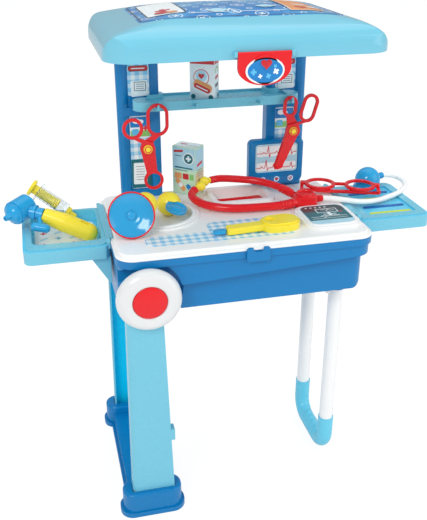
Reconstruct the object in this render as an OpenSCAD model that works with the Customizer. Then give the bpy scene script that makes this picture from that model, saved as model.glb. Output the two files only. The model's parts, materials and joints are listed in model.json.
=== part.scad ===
// Toy doctor case set up as a play table: tub on a folding leg pair and the trolley handle,
// deck with side tables, two posts with a shelf, the lid as a canopy, and the play instruments.
// Millimetres. X runs along the case towards the handle, Y to the back, Z up; the floor is Z 0.

/* [Case] */
// Length of the tub and of the canopy
case_l = 350; // [340:1:360]
// Depth of the tub and of the canopy, front to back
case_d = 230; // [226:1:236]
// Corner radius of the case seen from above
case_r = 24; // [18:1:30]
// Height of the tub's rim above the floor
rim_z = 404; // [400:1:408]
// Height of the tub
tub_h = 82; // [78:1:86]
// Wall thickness of the large mouldings
wall = 3; // [2:0.5:3.5]

/* [Wheels and legs] */
// Diameter of a travel wheel
wheel_d = 85; // [78:1:88]
// Thickness of a travel wheel
wheel_t = 11; // [9:1:12]
// Height of the wheel and leg axle above the floor
axle_z = 355; // [352:1:358]
// Diameter of the axle rod
axle_d = 8; // [6:1:9]
// Width of a leg at its foot
leg_w = 62; // [56:1:66]
// Thickness of a leg's channel
leg_t = 18; // [16:1:18]
// Height of the foot
foot_h = 39; // [34:1:44]

/* [Trolley handle] */
// Diameter of a handle tube
tube_d = 21; // [19:0.5:22]
// Distance between the two handle tubes
tube_gap = 106; // [96:1:114]
// Diameter of the grip
grip_d = 24; // [24:0.5:26]

/* [Side tables] */
// Length of a side table, out from the tub
table_l = 113; // [105:1:115]
// Depth of a side table, front to back
table_d = 142; // [136:1:146]
// Height of a side table
table_h = 20; // [18:1:24]

/* [Posts, shelf and canopy] */
// Width of a post
post_w = 61; // [56:1:64]
// Thickness of the shelf
shelf_t = 13; // [11:1:15]
// Height of the shelf's top above the floor
shelf_z = 561; // [558:1:564]
// Height of the canopy's lower edge above the floor
canopy_z = 647; // [644:1:652]
// Height of the canopy
canopy_h = 50; // [46:1:54]

/* [Instruments] */
// Diameter of the white hose
hose_d = 8; // [7:0.5:8]
// Diameter of the head mirror's dish
dish_d = 62; // [56:1:64]
// Diameter of the spectacles' lens holes
lens_d = 36; // [32:1:38]

/* [Hidden] */
$fn = 48;
eps = 0.01;
slack = 0.05;              // radial clearance of a running fit
shift = 9;                 // from the middle of the case to the middle of the whole set

light_blue = [0.51, 0.80, 0.89];
blue = [0.12, 0.51, 0.76];
tool_blue = [0.24, 0.63, 0.86];
deep_blue = [0.02, 0.40, 0.66];
white = [0.95, 0.95, 0.94];
red = [0.89, 0.20, 0.20];
yellow = [0.98, 0.84, 0.16];
steel = [0.7, 0.71, 0.73];

tub_z = rim_z - tub_h;
lip_h = 10;                // height of the tub's rim band
band_in = 3;               // how far the second band stands in from the rim
body_in = 17;              // how far the lower body stands in from the rim
pocket_in = 31;            // how far the wheel pocket stands in from the rim
pocket_x = -82;            // where the wheel pocket ends
arch_r = 46;               // wheel arch in the second band
hub_r = 22.4;

axle_x = -138;
leg_y = case_d / 2 + 3 - leg_t;      // inner face of a leg
wheel_y = case_d / 2 + 4;            // inner face of a wheel

handle_x = 148;
grip_top = 70;
sleeve_h = 30;             // how deep a tube sits in the grip
tube_top = 376;
button_z = 297;

lip_z = rim_z + 3.5;       // top of the deck's outer lip
deck_z = rim_z + 7.5;      // top of the deck
raise = 4.5;               // height of the rims on the deck
basin = [-100, 15];        // middle of the round basin
basin_r = 58;
sink = [32, 63];           // middle of the rectangular sink
sink_l = 94;
sink_d = 70;

table_y = 19;              // middle of a side table
table_x = case_l / 2 + 0.4;
post_x = 80;               // inner edge of a post
post_y = 93.5;             // front of a post
post_d = 18;
post_top = canopy_z + 12;
column_x = post_x + 7;     // round column on the inner side of a post

hook_x = [-90, -36, 56, 103.4];
hook_z = 554;              // pin of a hook

clasp_x = 8;
clasp_z = 653.5;           // hinge pin of the clasp
canopy_r = 34;             // corner radius of the canopy seen from above
below = 60;                // how far a crowned outline is carried below its own base

scissor_t = 3;
loop_t = 4.5;              // width of a finger loop's rim
pivot_left = [-106, 55, 498.2];
pivot_right = [107.5, 55, 510.3];

dish_at = [-146, -50, 441.4];
dish_axis = [-0.11, -0.92, 0.37];
mirror_ball_at = [-124, -25, 445.4];
lamp_at = [-82, 30, 422];
lamp_r = 17.4;
lens_at = [-76, 5, 424];
lens_axis = [0.25, -0.2, 1];

arm_r = 6;
arm_front = [[98, -3, 420], [78, -8, 419.5], [44, -7, 419], [4, -2, 419], [-24, 12, 419.5],
    [-40, 32, 421], [-44, 51, 424], [-37, 62, 428]];
arm_back = [[101, 15, 424], [94, 28, 427], [80, 48, 430], [60, 65, 432], [34, 76, 433.5],
    [8, 84, 434], [-9, 82, 433.5]];
hose_route = [[141, 4, 420], [156, 1, 419], [172, -2, 416.8], [190, -4, 413.5], [210, -2, 410.5],
    [232, 5, 408.6], [254, 15, 408.4], [274, 27, 408.4], [290, 41, 409], [300, 56, 410],
    [303, 70, 412], [297, 82, 414.5], [285, 85, 417], [272, 81, 419]];
bell_at = [243, 72, rim_z + 0.3];
bell_r = 19.5;
stem_from = [14, 4, 14];   // where the bell's stem starts, counted from the bell's base

syringe_top = [-271, 87.8, 443.2];
syringe_tip = [-208, 66.8, 397.2];
drum_at = [-287.6, 35, 430];
drum_axis = [-0.67, -0.73, -0.1];
handle_at = [-257, 23, 424.5];
handle_end = [-199, 4, 400.5];
trigger_at = [-263, 5.5, 413];
press_axis = [0, 0.8, 0.6];

// ---- shared shapes ------------------------------------------------------------------------

// Moves the set along X so that its own middle lies over the origin
module placed() translate([shift, 0, 0]) children();

// Rounded rectangle, centred
module plate(x, y, r) {
    square([x - 2 * r, y], center = true);
    square([x, y - 2 * r], center = true);
    for (sx = [-1, 1], sy = [-1, 1])
        translate([sx * (x / 2 - r), sy * (y / 2 - r)])
            circle(r);
}

// Rounded slab that stands on z 0
module slab(x, y, r, h) {
    linear_extrude(h) plate(x, y, r);
}

// An upright outline (x, z) carried through the depth from y0 to y1
module through(y0, y1) {
    translate([0, y1, 0])
        rotate([90, 0, 0])
            linear_extrude(y1 - y0) children();
}

// Turns +Z to the line from a to b, starting at a
module along(a, b) {
    d = b - a;
    translate(a)
        rotate([0, acos(d[2] / norm(d)), atan2(d[1], d[0])])
            children();
}

// Straight rod with round ends
module rod(a, b, r) {
    h = norm(b - a);
    along(a, b) rotate_extrude($fn = 64) {
        square([r, h]);
        intersection() {
            union() {
                circle(r);
                translate([0, h]) circle(r);
            }
            translate([0, -r]) square([r, h + 2 * r]);
        }
    }
}

// Smooth point at t along hand-placed points, as a Catmull-Rom curve
function curve(p, t) =
    let (last = len(p) - 1,
         i = min(floor(t), last - 1),
         u = t - i,
         a = p[max(i - 1, 0)],
         b = p[i],
         c = p[i + 1],
         d = p[min(i + 2, last)])
    0.5 * ((2 * b) + (c - a) * u + (2 * a - 5 * b + 4 * c - d) * u * u
        + (3 * b - a - 3 * c + d) * u * u * u);

function unit(v) = v / norm(v);

// Ring of points round a curve's point, square to it
function ring(at, way, r, sides) =
    let (side = unit(cross(way, [0, 0, 1])),
         up = cross(side, way))
    [for (k = [0:sides - 1]) at + r * (cos(360 * k / sides) * side + sin(360 * k / sides) * up)];

// Round tube swept along hand-placed points
module sweep(p, r, sides, per) {
    last = len(p) - 1;
    rings = last * per;
    step = 1 / per;
    pts = [for (k = [0:rings])
        let (t = k * step,
             before = curve(p, max(t - 0.05, 0)),
             after = curve(p, min(t + 0.05, last)))
        each ring(curve(p, t), unit(after - before), r, sides)];
    walls = [for (k = [0:rings - 1], s = [0:sides - 1])
        let (s2 = (s + 1) % sides)
        each [[k * sides + s, k * sides + s2, (k + 1) * sides + s2],
              [k * sides + s, (k + 1) * sides + s2, (k + 1) * sides + s]]];
    first_cap = [for (s = [1:sides - 2]) [0, s + 1, s]];
    last_cap = [for (s = [1:sides - 2]) [rings * sides, rings * sides + s, rings * sides + s + 1]];
    polyhedron(pts, concat(walls, first_cap, last_cap));
}

// ---- tub and what is fixed to it ----------------------------------------------------------

// Second band of the tub, with a rising lower edge and a wheel arch at each side
module band(x, y, r) {
    difference() {
        translate([0, 0, tub_z + 20]) slab(x, y, r, rim_z - lip_h - tub_z - 20 + eps);
        through(-case_d, case_d)
            polygon([[-case_l, tub_z], [case_l, tub_z], [case_l, tub_z + 67], [pocket_x, tub_z + 42],
                [-case_l, tub_z + 42]]);
        for (side = [-1, 1])
            translate([axle_x, side * (case_d / 2 - pocket_in), axle_z])
                rotate([-90 * side, 0, 0])
                    cylinder(r = arch_r, h = pocket_in + 1);
    }
}

// Lower body, rounded at its lower right edge and cut round behind the wheel
module lower_body(shrink) {
    r = 16;
    right = case_l / 2 - 8 - shrink;
    difference() {
        intersection() {
            translate([0, 0, tub_z + shrink])
                slab(2 * right, case_d - 2 * body_in - 2 * shrink, case_r - 8, 60);
            through(-case_d, case_d) union() {
                translate([pocket_x - 10 + shrink, tub_z + shrink])
                    square([right - pocket_x + 10 - shrink - r, 60]);
                translate([pocket_x, tub_z + shrink + r]) square([right - pocket_x, 60]);
                translate([right - r, tub_z + shrink + r]) circle(r);
            }
        }
        for (side = [-1, 1])
            translate([axle_x, side * (case_d / 2 - pocket_in - shrink), axle_z])
                rotate([-90 * side, 0, 0])
                    cylinder(r = arch_r + 4 + shrink, h = pocket_in);
    }
}

// Narrow body between the two wheels
module pocket_body(shrink) {
    translate([(pocket_x - case_l / 2) / 2 - 1, 0, tub_z + shrink])
        slab(case_l / 2 + pocket_x - 7 - 2 * shrink, case_d - 2 * pocket_in - 2 * shrink, 6, 74);
}

module tub() color(blue) placed() difference() {
    union() {
        difference() {
            union() {
                translate([0, 0, rim_z - lip_h]) slab(case_l, case_d, case_r, lip_h);
                band(case_l - 2 * band_in, case_d - 2 * band_in, case_r - band_in);
                lower_body(0);
                pocket_body(0);
            }
            translate([0, 0, rim_z - lip_h + wall])
                slab(case_l - 12, case_d - 12, case_r - 6, lip_h);
            translate([45, 0, rim_z - 21]) slab(248, case_d - 2 * body_in - 2 * wall, 16, 22);
            lower_body(wall);
            pocket_body(wall);
        }
        for (side = [-1, 1])
            translate([handle_x, side * tube_gap / 2, tub_z])
                cylinder(d = tube_d + 9, h = tube_top - tub_z + wall);
    }
    for (side = [-1, 1])
        translate([handle_x, side * tube_gap / 2, tub_z - eps])
            cylinder(d = tube_d + 2 * slack, h = tube_top - tub_z + 0.2);
    translate([axle_x, 0, axle_z]) rotate([90, 0, 0])
        cylinder(d = axle_d, h = case_d, center = true);
}

module latch_clip() color(blue) placed() difference() {
    translate([clasp_x, -case_d / 2, rim_z - 15])
        through(-4, 0) translate([0, 10]) plate(32, 20, 4);
    translate([clasp_x, -case_d / 2, rim_z + 5])
        through(-5, 1) plate(14, 12, 4);
}

module axle() color(steel) placed()
    translate([axle_x, 0, axle_z]) rotate([90, 0, 0])
        cylinder(d = axle_d, h = 2 * wheel_y + 2 * wheel_t - 2, center = true);

module handle_collars() color(deep_blue) placed()
    for (side = [-1, 1])
        translate([handle_x, side * tube_gap / 2, tub_z - 19]) difference() {
            cylinder(d = tube_d + 7, h = 19);
            translate([0, 0, -eps]) cylinder(d = tube_d + 2 * slack, h = 20);
        }

// ---- folding legs and foot ----------------------------------------------------------------

// Outline of a leg, wider at its foot, with a round head at the axle
module leg_outline(shrink) {
    polygon([[axle_x - 30 + shrink, axle_z - 14], [axle_x - 11 + shrink, axle_z],
        [axle_x + 11 - shrink, axle_z], [axle_x + 19 - shrink, axle_z - 34],
        [axle_x - 3 + leg_w / 2 - shrink, 8], [axle_x - 3 - leg_w / 2 + shrink, 8],
        [axle_x - 30 + shrink, axle_z - 53]]);
    translate([axle_x, axle_z]) circle(11 - shrink);
}

// Channel leg, open towards the other leg; front leg in place
module leg() difference() {
    union() {
        translate([0, -leg_y - leg_t, 0]) difference() {
            through(0, leg_t) leg_outline(0);
            through(wall, leg_t + 1) difference() {
                leg_outline(wall);
                translate([axle_x - 40, axle_z - 26]) square([80, 60]);
            }
        }
        translate([axle_x + 22, -leg_y - leg_t, 122]) cube([8, leg_t - 4, 18]);
        translate([axle_x, -leg_y - 1, axle_z]) rotate([-90, 0, 0])
            cylinder(r = 10.5, h = leg_y - case_d / 2 + pocket_in + 0.7);
    }
    translate([axle_x, -leg_y - leg_t / 2, axle_z]) rotate([90, 0, 0])
        cylinder(d = axle_d + 2 * slack, h = 60, center = true);
}

module leg_front() color(light_blue) placed() leg();
module leg_back() color(light_blue) placed() mirror([0, 1, 0]) leg();

module foot() color(blue) placed() difference() {
    union() {
        for (side = [-1, 1]) translate([axle_x - 5, side * 108, 0]) {
            slab(95, 42, 19, 8);
            slab(86, 38, 17, foot_h);
        }
        translate([axle_x - 5, 0, 0]) slab(66, 200, 6, 26);
        translate([axle_x - 5, 0, 0]) slab(74, 190, 6, 8);
    }
    translate([0, 0, 8]) for (side = [-1, 1])
        translate([axle_x - 3, side * (leg_y + leg_t / 2), 0])
            slab(leg_w + 0.6, leg_t + 0.6, 1.5, foot_h);
    translate([axle_x - 5, 0, -eps]) slab(60, 150, 4, 23);
}

// ---- travel wheels ------------------------------------------------------------------------

// Domed wheel with a seat for its hub button; axis along Z, inner face at z 0
module wheel_shape() {
    r = wheel_d / 2;
    rotate_extrude($fn = 96) difference() {
        union() {
            square([r - 4, 6]);
            translate([0, 4]) square([r, 2]);
            translate([r - 4, 4]) intersection() {
                circle(4);
                translate([0, -4]) square([4, 4]);
            }
            intersection() {
                translate([r - wheel_t, 6]) circle(wheel_t);
                translate([0, 6]) square([r, wheel_t]);
            }
            square([r - wheel_t, wheel_t + 6]);
        }
        square([axle_d / 2 + slack, wheel_t]);
        translate([0, wheel_t]) square([hub_r + 0.1, 10]);
    }
}

// Red hub button, domed
module hub_shape() {
    dome = 90;
    intersection() {
        translate([0, 0, wheel_t]) cylinder(r = hub_r, h = 12, $fn = 96);
        translate([0, 0, wheel_t + 8 - dome]) sphere(dome, $fn = 96);
    }
}

module at_front_wheel() translate([axle_x, -wheel_y, axle_z]) rotate([90, 0, 0]) children();
module at_back_wheel() mirror([0, 1, 0]) at_front_wheel() children();

module wheel_front() color(white) placed() at_front_wheel() wheel_shape();
module wheel_back() color(white) placed() at_back_wheel() wheel_shape();
module hub_front() color(red) placed() at_front_wheel() hub_shape();
module hub_back() color(red) placed() at_back_wheel() hub_shape();

// ---- trolley handle -----------------------------------------------------------------------

module tube_shape(side) difference() {
    translate([handle_x, side * tube_gap / 2, grip_top - sleeve_h])
        cylinder(d = tube_d, h = tube_top - grip_top + sleeve_h);
    translate([handle_x, side * tube_gap / 2, grip_top])
        cylinder(d = tube_d - 3, h = tube_top);
    translate([handle_x, side * tube_gap / 2, button_z]) rotate([0, -90, 0])
        cylinder(r = 4.3, h = tube_d);
}

module tube_front() color(white) placed() tube_shape(-1);
module tube_back() color(white) placed() tube_shape(1);

module grip() color(light_blue) placed() {
    bend = 26;
    mid = tube_gap / 2 - bend;
    sleeve_z = grip_d / 2 + bend;
    difference() {
        union() {
            for (side = [-1, 1]) {
                translate([handle_x, side * tube_gap / 2, sleeve_z])
                    cylinder(d = grip_d, h = grip_top - sleeve_z);
                translate([handle_x, side * mid, sleeve_z]) rotate([0, 90, 0])
                    rotate([0, 0, side > 0 ? 0 : -90])
                        rotate_extrude(angle = 90) translate([bend, 0]) circle(d = grip_d);
            }
            translate([handle_x, mid, grip_d / 2]) rotate([90, 0, 0]) cylinder(d = grip_d, h = 2 * mid);
            for (k = [-1.5:1:1.5]) translate([handle_x, k * 13, grip_d / 2 + 8]) sphere(6);
        }
        for (side = [-1, 1])
            translate([handle_x, side * tube_gap / 2, grip_top - sleeve_h])
                cylinder(d = tube_d, h = sleeve_h + 1);
    }
}

// Spring button: domed head through the tube's wall, on a leaf inside the tube
module snap_button(side) translate([handle_x, side * tube_gap / 2, button_z]) {
    rotate([0, -90, 0]) cylinder(r = 4.2, h = tube_d / 2 + 2);
    translate([-tube_d / 2 - 2, 0, 0]) intersection() {
        sphere(4.2);
        translate([-5, -5, -5]) cube([5, 10, 10]);
    }
    translate([-1, -3.5, -18]) cube([1.5, 7, 24]);
}

module snap_button_front() color(white) placed() snap_button(-1);
module snap_button_back() color(white) placed() snap_button(1);

// ---- deck ---------------------------------------------------------------------------------

// Plan of the raised screen pod
module pod_plan(grow) {
    translate([127, -50]) plate(78 + 2 * grow, 80 + 2 * grow, 20 + grow);
}

module deck() color(white) placed() difference() {
    union() {
        translate([0, 0, rim_z]) slab(case_l, case_d, case_r, lip_z - rim_z);
        translate([0, 0, rim_z]) slab(case_l - 10, case_d - 10, case_r - 5, deck_z - rim_z);
        translate([0, 0, rim_z - 6.5]) slab(case_l - 13, case_d - 13, case_r - 7, 8);
        translate([basin[0], basin[1], deck_z - 10]) cylinder(r = basin_r - 6, h = 10);
        translate([basin[0], basin[1], deck_z]) cylinder(r = basin_r, h = raise - 1.5);
        translate([basin[0], basin[1], deck_z]) cylinder(r = basin_r - 5, h = raise);
        translate([sink[0], sink[1], deck_z - 16]) slab(sink_l - 10, sink_d - 10, 10, 16);
        translate([sink[0], sink[1], deck_z]) slab(sink_l, sink_d, 12, raise);
        translate([0, 0, deck_z]) linear_extrude(raise) pod_plan(0);
        translate([0, 0, deck_z]) linear_extrude(raise + 1.5) pod_plan(-4);
    }
    translate([0, 0, rim_z - 9]) linear_extrude(13.5) difference() {
        plate(case_l - 17, case_d - 17, case_r - 9);
        translate(basin) circle(basin_r - 6);
        translate(sink) plate(sink_l - 10, sink_d - 10, 10);
    }
    translate([basin[0], basin[1], deck_z - 7]) cylinder(r = basin_r - 10, h = 30);
    translate([sink[0], sink[1], deck_z - 13]) slab(sink_l - 16, sink_d - 16, 8, 30);
    translate([0, 0, rim_z + 4]) linear_extrude(deck_z + raise - 2 - rim_z - 4) pod_plan(-7);
}

module deck_stickers() color([0.62, 0.85, 0.94]) placed() {
    translate([0, 0, deck_z]) linear_extrude(0.3) union() {
        translate([-30, -74]) plate(206, 32, 14);
        translate([12, -52]) plate(110, 50, 14);
    }
    translate([0, 0, deck_z + raise + 1.5]) linear_extrude(0.3) pod_plan(-7);
}

// ---- side tables --------------------------------------------------------------------------

// Plain table top with a step round its edge, for the right-hand side
module table_blank() {
    translate([table_x + table_l / 2, table_y, rim_z - table_h]) {
        slab(table_l, table_d, 12, table_h - 2);
        slab(table_l - 8, table_d - 8, 9, table_h);
        translate([-10, 0, 0]) slab(table_l - 28, table_d, 4, table_h - 2);
    }
    translate([table_x, table_y - table_d / 2 + 4, rim_z - 8]) cube([5, table_d - 8, 14.5]);
    translate([table_x - 4, table_y - table_d / 2 + 10, lip_z + 0.3]) cube([6, table_d - 20, 2.7]);
}

module left_table() color(light_blue) placed() mirror([1, 0, 0]) difference() {
    table_blank();
    translate([table_x + 55, table_y + 5, rim_z - table_h + wall]) slab(92, 112, 10, table_h);
}

module right_table() color(light_blue) placed() difference() {
    table_blank();
    translate([table_x + 60, table_y, rim_z - 3]) slab(76, 108, 4, 4);
    for (k = [0:3])
        translate([table_x + 61, table_y - 46 + 28 * k + (k % 2) * -4, rim_z - 9]) slab(66, 8, 3.9, 10);
    translate([0, 0, rim_z - table_h - eps]) translate([table_x + 57, table_y, 0])
        slab(table_l - 8, table_d - 8, 8, table_h - 13);
}

// Gusset under a side table, for the right-hand side
module bracket() translate([table_x, 0, 0]) {
    for (y = [table_y - 64, table_y + 58])
        through(y, y + 6)
            polygon([[0, rim_z - table_h], [27, rim_z - table_h], [3, rim_z - table_h - 40],
                [0, rim_z - table_h - 40]]);
    translate([0, table_y - 64, rim_z - table_h - 40]) cube([3, 128, 40]);
}

module left_bracket() color(light_blue) placed() mirror([1, 0, 0]) bracket();
module right_bracket() color(light_blue) placed() bracket();

module insert_bar(k) translate([table_x + 61, table_y - 46 + 28 * k + (k % 2) * -4, rim_z - 9])
    slab(65.6, 7.6, 3.7, 7);

module blue_inserts() color(deep_blue) placed() for (k = [1, 3]) insert_bar(k);
module yellow_inserts() color(yellow) placed() for (k = [0, 2]) insert_bar(k);

// ---- posts, shelf and monitor -------------------------------------------------------------

// Right-hand post: outer round edge, sunk sticker panels, round column above the shelf
module post_shape() difference() {
    union() {
        translate([post_x + 9, post_y + 4, deck_z]) cube([post_w - 15, post_d - 4, post_top - deck_z]);
        translate([post_x + post_w - 9, post_y + 9, deck_z]) cylinder(r = 9, h = post_top - deck_z);
        translate([column_x, post_y + 7, shelf_z - shelf_t]) cylinder(r = 7, h = post_top - shelf_z + shelf_t);
        translate([post_x, post_y, deck_z]) cube([14, post_d, shelf_z - shelf_t - deck_z]);
        translate([post_x, post_y, deck_z]) cube([post_w - 8, post_d, 12]);
        translate([post_x, post_y, shelf_z - 26]) cube([post_w - 8, post_d, 12]);
    }
    translate([post_x + 3, post_y + 7, deck_z - eps])
        cube([post_w - 14, post_d, shelf_z - shelf_t - deck_z - 6]);
}

module post_left() color(blue) placed() mirror([1, 0, 0]) post_shape();
module post_right() color(blue) placed() post_shape();

module shelf() color(light_blue) placed() difference() {
    union() {
        translate([0, 77, shelf_z - shelf_t]) {
            slab(210, 34, 3, shelf_t - 3);
            for (side = [-1, 1]) translate([side * 104, 0, 0]) cylinder(r = 17, h = shelf_t - 3);
            difference() {
                union() {
                    slab(210, 34, 3, shelf_t);
                    for (side = [-1, 1]) translate([side * 104, 0, 0]) cylinder(r = 17, h = shelf_t);
                }
                translate([0, 0, shelf_t - 3]) slab(204, 28, 3, 4);
                translate([0, 20, shelf_t - 3]) slab(150, 26, 2, 4);
            }
            translate([0, 26, 0]) difference() {
                slab(156, 20, 3, shelf_t);
                translate([0, -6, shelf_t - 3]) slab(150, 26, 2, 4);
            }
        }
        for (side = [-1, 1]) translate([side * column_x, post_y + 7, shelf_z - shelf_t])
            cylinder(r = 13, h = shelf_t + 3.5);
        for (x = hook_x) {
            translate([x, 61, hook_z]) rotate([90, 0, 0]) cylinder(r = 2, h = 17);
            translate([x, 45, hook_z]) cylinder(r = 1.5, h = 6);
        }
    }
    for (side = [-1, 1]) translate([side * column_x, post_y + 7, shelf_z - shelf_t - 1])
        cylinder(r = 7, h = shelf_t + 8);
    for (side = [-1, 1]) translate([side * (post_x + 40) - 31, post_y - 0.1, shelf_z - shelf_t - 1])
        cube([62, 40, shelf_t + 8]);
}

module monitor() color(blue) placed() difference() {
    translate([94, 0, 454]) through(post_y - 14, post_y) {
        plate(86, 70, 12);
        translate([0, 14]) plate(86, 42, 8);
    }
    translate([94, 0, 461]) through(post_y - 15, post_y - 12.5) plate(68, 46, 6);
}

module stand_stickers() color([0.75, 0.89, 0.96]) placed() {
    for (side = [-1, 1]) {
        translate([side * 108.9, 0, 602]) through(post_y + 3.6, post_y + 4) plate(30.6, 78, 3);
        translate([side * 109.3, 0, 479.3]) through(post_y + 3.6, post_y + 4) plate(29.8, 110, 3);
    }
    translate([94, 0, 461]) through(post_y - 12.9, post_y - 12.5) plate(66, 44, 5);
    translate([94, 0, 428]) through(post_y - 14.4, post_y - 14) plate(60, 9, 4);
}

// ---- canopy and clasp ---------------------------------------------------------------------

// Height of a shoulder's centre under a crown, and how far out the crown meets the shoulder;
// side is [half width, shoulder radius]
function shoulder_z(side, top, crown) =
    top - crown + sqrt(pow(crown - side[1], 2) - pow(side[0] - side[1], 2));
function shoulder_meet(side, crown) = (side[0] - side[1]) * crown / (crown - side[1]);

// Crowned outline between a left and a right shoulder, carried down below its base
module crowned(left, right, top, crown) {
    intersection() {
        translate([0, top - crown]) circle(crown, $fn = 300);
        translate([-shoulder_meet(left, crown), -below])
            square([shoulder_meet(left, crown) + shoulder_meet(right, crown), below + top]);
    }
    translate([-left[0], -below]) square([left[0], below + shoulder_z(left, top, crown)]);
    translate([-1, -below]) square([right[0] + 1, below + shoulder_z(right, top, crown)]);
    translate([left[1] - left[0], shoulder_z(left, top, crown)]) circle(left[1], $fn = 96);
    translate([right[0] - right[1], shoulder_z(right, top, crown)]) circle(right[1], $fn = 96);
}

// Outer form of the canopy, crowned both ways; its right end falls in a longer curve
module canopy_form(shrink) {
    w = case_l / 2 - shrink;
    d = case_d / 2 - shrink;
    top = canopy_h - shrink;
    flank = [d + 0.05, 20 - shrink];
    translate([0, 0, canopy_z]) hull() intersection() {
        translate([0, 0, -shrink]) slab(2 * w, 2 * d, canopy_r - shrink, top + shrink);
        through(-d - 5, d + 5)
            crowned([w + 0.05, 26 - shrink], [w + 4, 60 - shrink], top, 650 - shrink);
        rotate([0, 0, 90]) through(-w - 5, w + 5) crowned(flank, flank, top, 300 - shrink);
    }
}

module canopy() color(light_blue) placed() {
    difference() {
        canopy_form(0);
        canopy_form(wall);
    }
    for (side = [-1, 1]) translate([side * (post_x + post_w / 2), post_y + 8, post_top])
        slab(post_w - 10, 12, 3, 15.5);
    for (side = [-1, 1]) translate([clasp_x + side * 34.5 - 2, -case_d / 2 - 6.5, clasp_z - 3])
        cube([4, 8, 6]);
    translate([clasp_x - 34, -case_d / 2 - 3.5, clasp_z]) rotate([0, 90, 0]) cylinder(r = 1.2, h = 68);
}

module canopy_sticker() color([0.35, 0.66, 0.88]) placed() intersection() {
    difference() {
        translate([0, 0, 0.3]) canopy_form(0);
        canopy_form(0);
    }
    translate([0, 0, canopy_z]) slab(256, 142, 10, 80);
}

module clasp() color(red) placed() {
    y0 = -case_d / 2 - 1;
    translate([clasp_x, 0, 0]) difference() {
        union() {
            through(y0 - 5, y0) {
                translate([-32, 637.5]) square([64, 16.5]);
                intersection() {
                    translate([0, 637.5]) scale([1, 0.62]) circle(32);
                    translate([-32, 617]) square([64, 22]);
                }
            }
            translate([0, y0 - 6.5, 636]) rotate([-90, 0, 0]) cylinder(r = 17, h = 3);
            translate([-32, y0 - 2.5, clasp_z]) rotate([0, 90, 0]) cylinder(r = 2.5, h = 64);
        }
        translate([-33, y0 - 2.5, clasp_z]) rotate([0, 90, 0]) cylinder(r = 1.2 + slack, h = 66);
    }
}

// ---- hanging scissors ---------------------------------------------------------------------

// Upright rounded slot, w wide and h high
module stadium(w, h) {
    square([w, h - w], center = true);
    for (side = [-1, 1]) translate([0, side * (h - w) / 2]) circle(d = w);
}

// One half of a pair, flat in XZ with its pivot at the origin: finger loop, web and blade
module scissor_half(loop, lean, size, tip, tip_r) {
    difference() {
        union() {
            translate(loop) rotate(lean) stadium(size[0], size[1]);
            polygon([[-9.4, -3], [9.4, -3], [8.4, 9], loop + [5, -size[1] / 2 + 2.5],
                loop + [-5, -size[1] / 2 + 3.5], [-8.4, 9]]);
            polygon([[-10, -1.5], [10, -1.5], tip + [tip_r - 0.5, -0.5], tip + [0.5 - tip_r, -0.5]]);
            translate(tip) circle(tip_r);
        }
        translate(loop) rotate(lean) stadium(size[0] - 2 * loop_t, size[1] - 2 * loop_t);
    }
}

// Round middle of a half, where the two cross
module pivot_disc() rotate([90, 0, 0]) cylinder(r = 10.5, h = scissor_t);

// Half with the pivot button moulded on; it lies behind its partner
module button_half(loop, lean, size, tip, tip_r) {
    pivot_disc();
    through(-scissor_t, 0) scissor_half(loop, lean, size, tip, tip_r);
    translate([0, -2 * scissor_t - 2.5, 0]) rotate([-90, 0, 0]) cylinder(r = 2.4, h = 3 + scissor_t);
    translate([0, -2 * scissor_t - 2.8, 0]) rotate([-90, 0, 0]) cylinder(r = 6, h = 2.3);
}

module left_scissors_upper() color(red) placed() translate(pivot_left)
    button_half([15.5, 39.6], 0, [31, 46], [4, -30], 7);

module left_scissors_lower() color(red) placed() translate(pivot_left + [0, -scissor_t - 0.2, 0]) difference() {
    union() {
        pivot_disc();
        through(-scissor_t, 0) scissor_half([-20, 30], 0, [29, 30], [5, -36], 8);
        translate([7, 0, -46]) rotate([90, 0, 0]) cylinder(r = 14, h = scissor_t);
    }
    translate([7, 1, -46]) rotate([90, 0, 0]) cylinder(r = 10, h = 6);
    translate([0, 1, 0]) rotate([90, 0, 0]) cylinder(r = 2.4 + slack, h = 6);
}

module right_scissors_upper() color(red) placed() translate(pivot_right)
    button_half([-4.5, 35], -4, [21, 31], [-21, -52], 6);

module right_scissors_lower() color(red) placed() translate(pivot_right + [0, -scissor_t - 0.2, 0]) difference() {
    union() {
        pivot_disc();
        through(-scissor_t, 0) scissor_half([23, 32], -16, [24, 42], [-19, -50], 6);
    }
    translate([0, 1, 0]) rotate([90, 0, 0]) cylinder(r = 2.4 + slack, h = 6);
}

// ---- cartons ------------------------------------------------------------------------------

// Closed carton whose nearest bottom corner is at the given point
module carton(corner, turn, size) translate(corner) rotate([0, 0, turn])
    translate([-size[0], 0, 0]) cube(size);

module tall_box() color(white) placed() carton([-33, 75.5, deck_z], -42, [39, 26, 74]);
module small_box() color(white) placed() carton([-7, 63.5, shelf_z - 3], -30, [36, 23, 58]);

// ---- head mirror and eye lamp -------------------------------------------------------------

module at_dish() along(dish_at, dish_at + dish_axis) children();

module mirror_dish() color(tool_blue) placed() at_dish() {
    deep = 6;
    round = (pow(dish_d / 2 - 2, 2) + deep * deep) / (2 * deep);
    difference() {
        intersection() {
            translate([0, 0, round - deep]) sphere(round + 2, $fn = 96);
            translate([0, 0, -deep - 3]) cylinder(r = dish_d / 2 - 2.1, h = deep + 4);
        }
        translate([0, 0, round - deep]) sphere(round, $fn = 96);
    }
    translate([0, 0, -deep]) cylinder(r = 6, h = 3);
}

module mirror_ring() color(red) placed() at_dish()
    rotate_extrude($fn = 96) translate([dish_d / 2 - 2, -2]) square([2, 4.5]);

module mirror_ball() color(yellow) placed() difference() {
    translate(mirror_ball_at) sphere(16.5, $fn = 64);
    at_dish() translate([0, 0, -8.3]) cylinder(r = dish_d / 2, h = 30);
}

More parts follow.
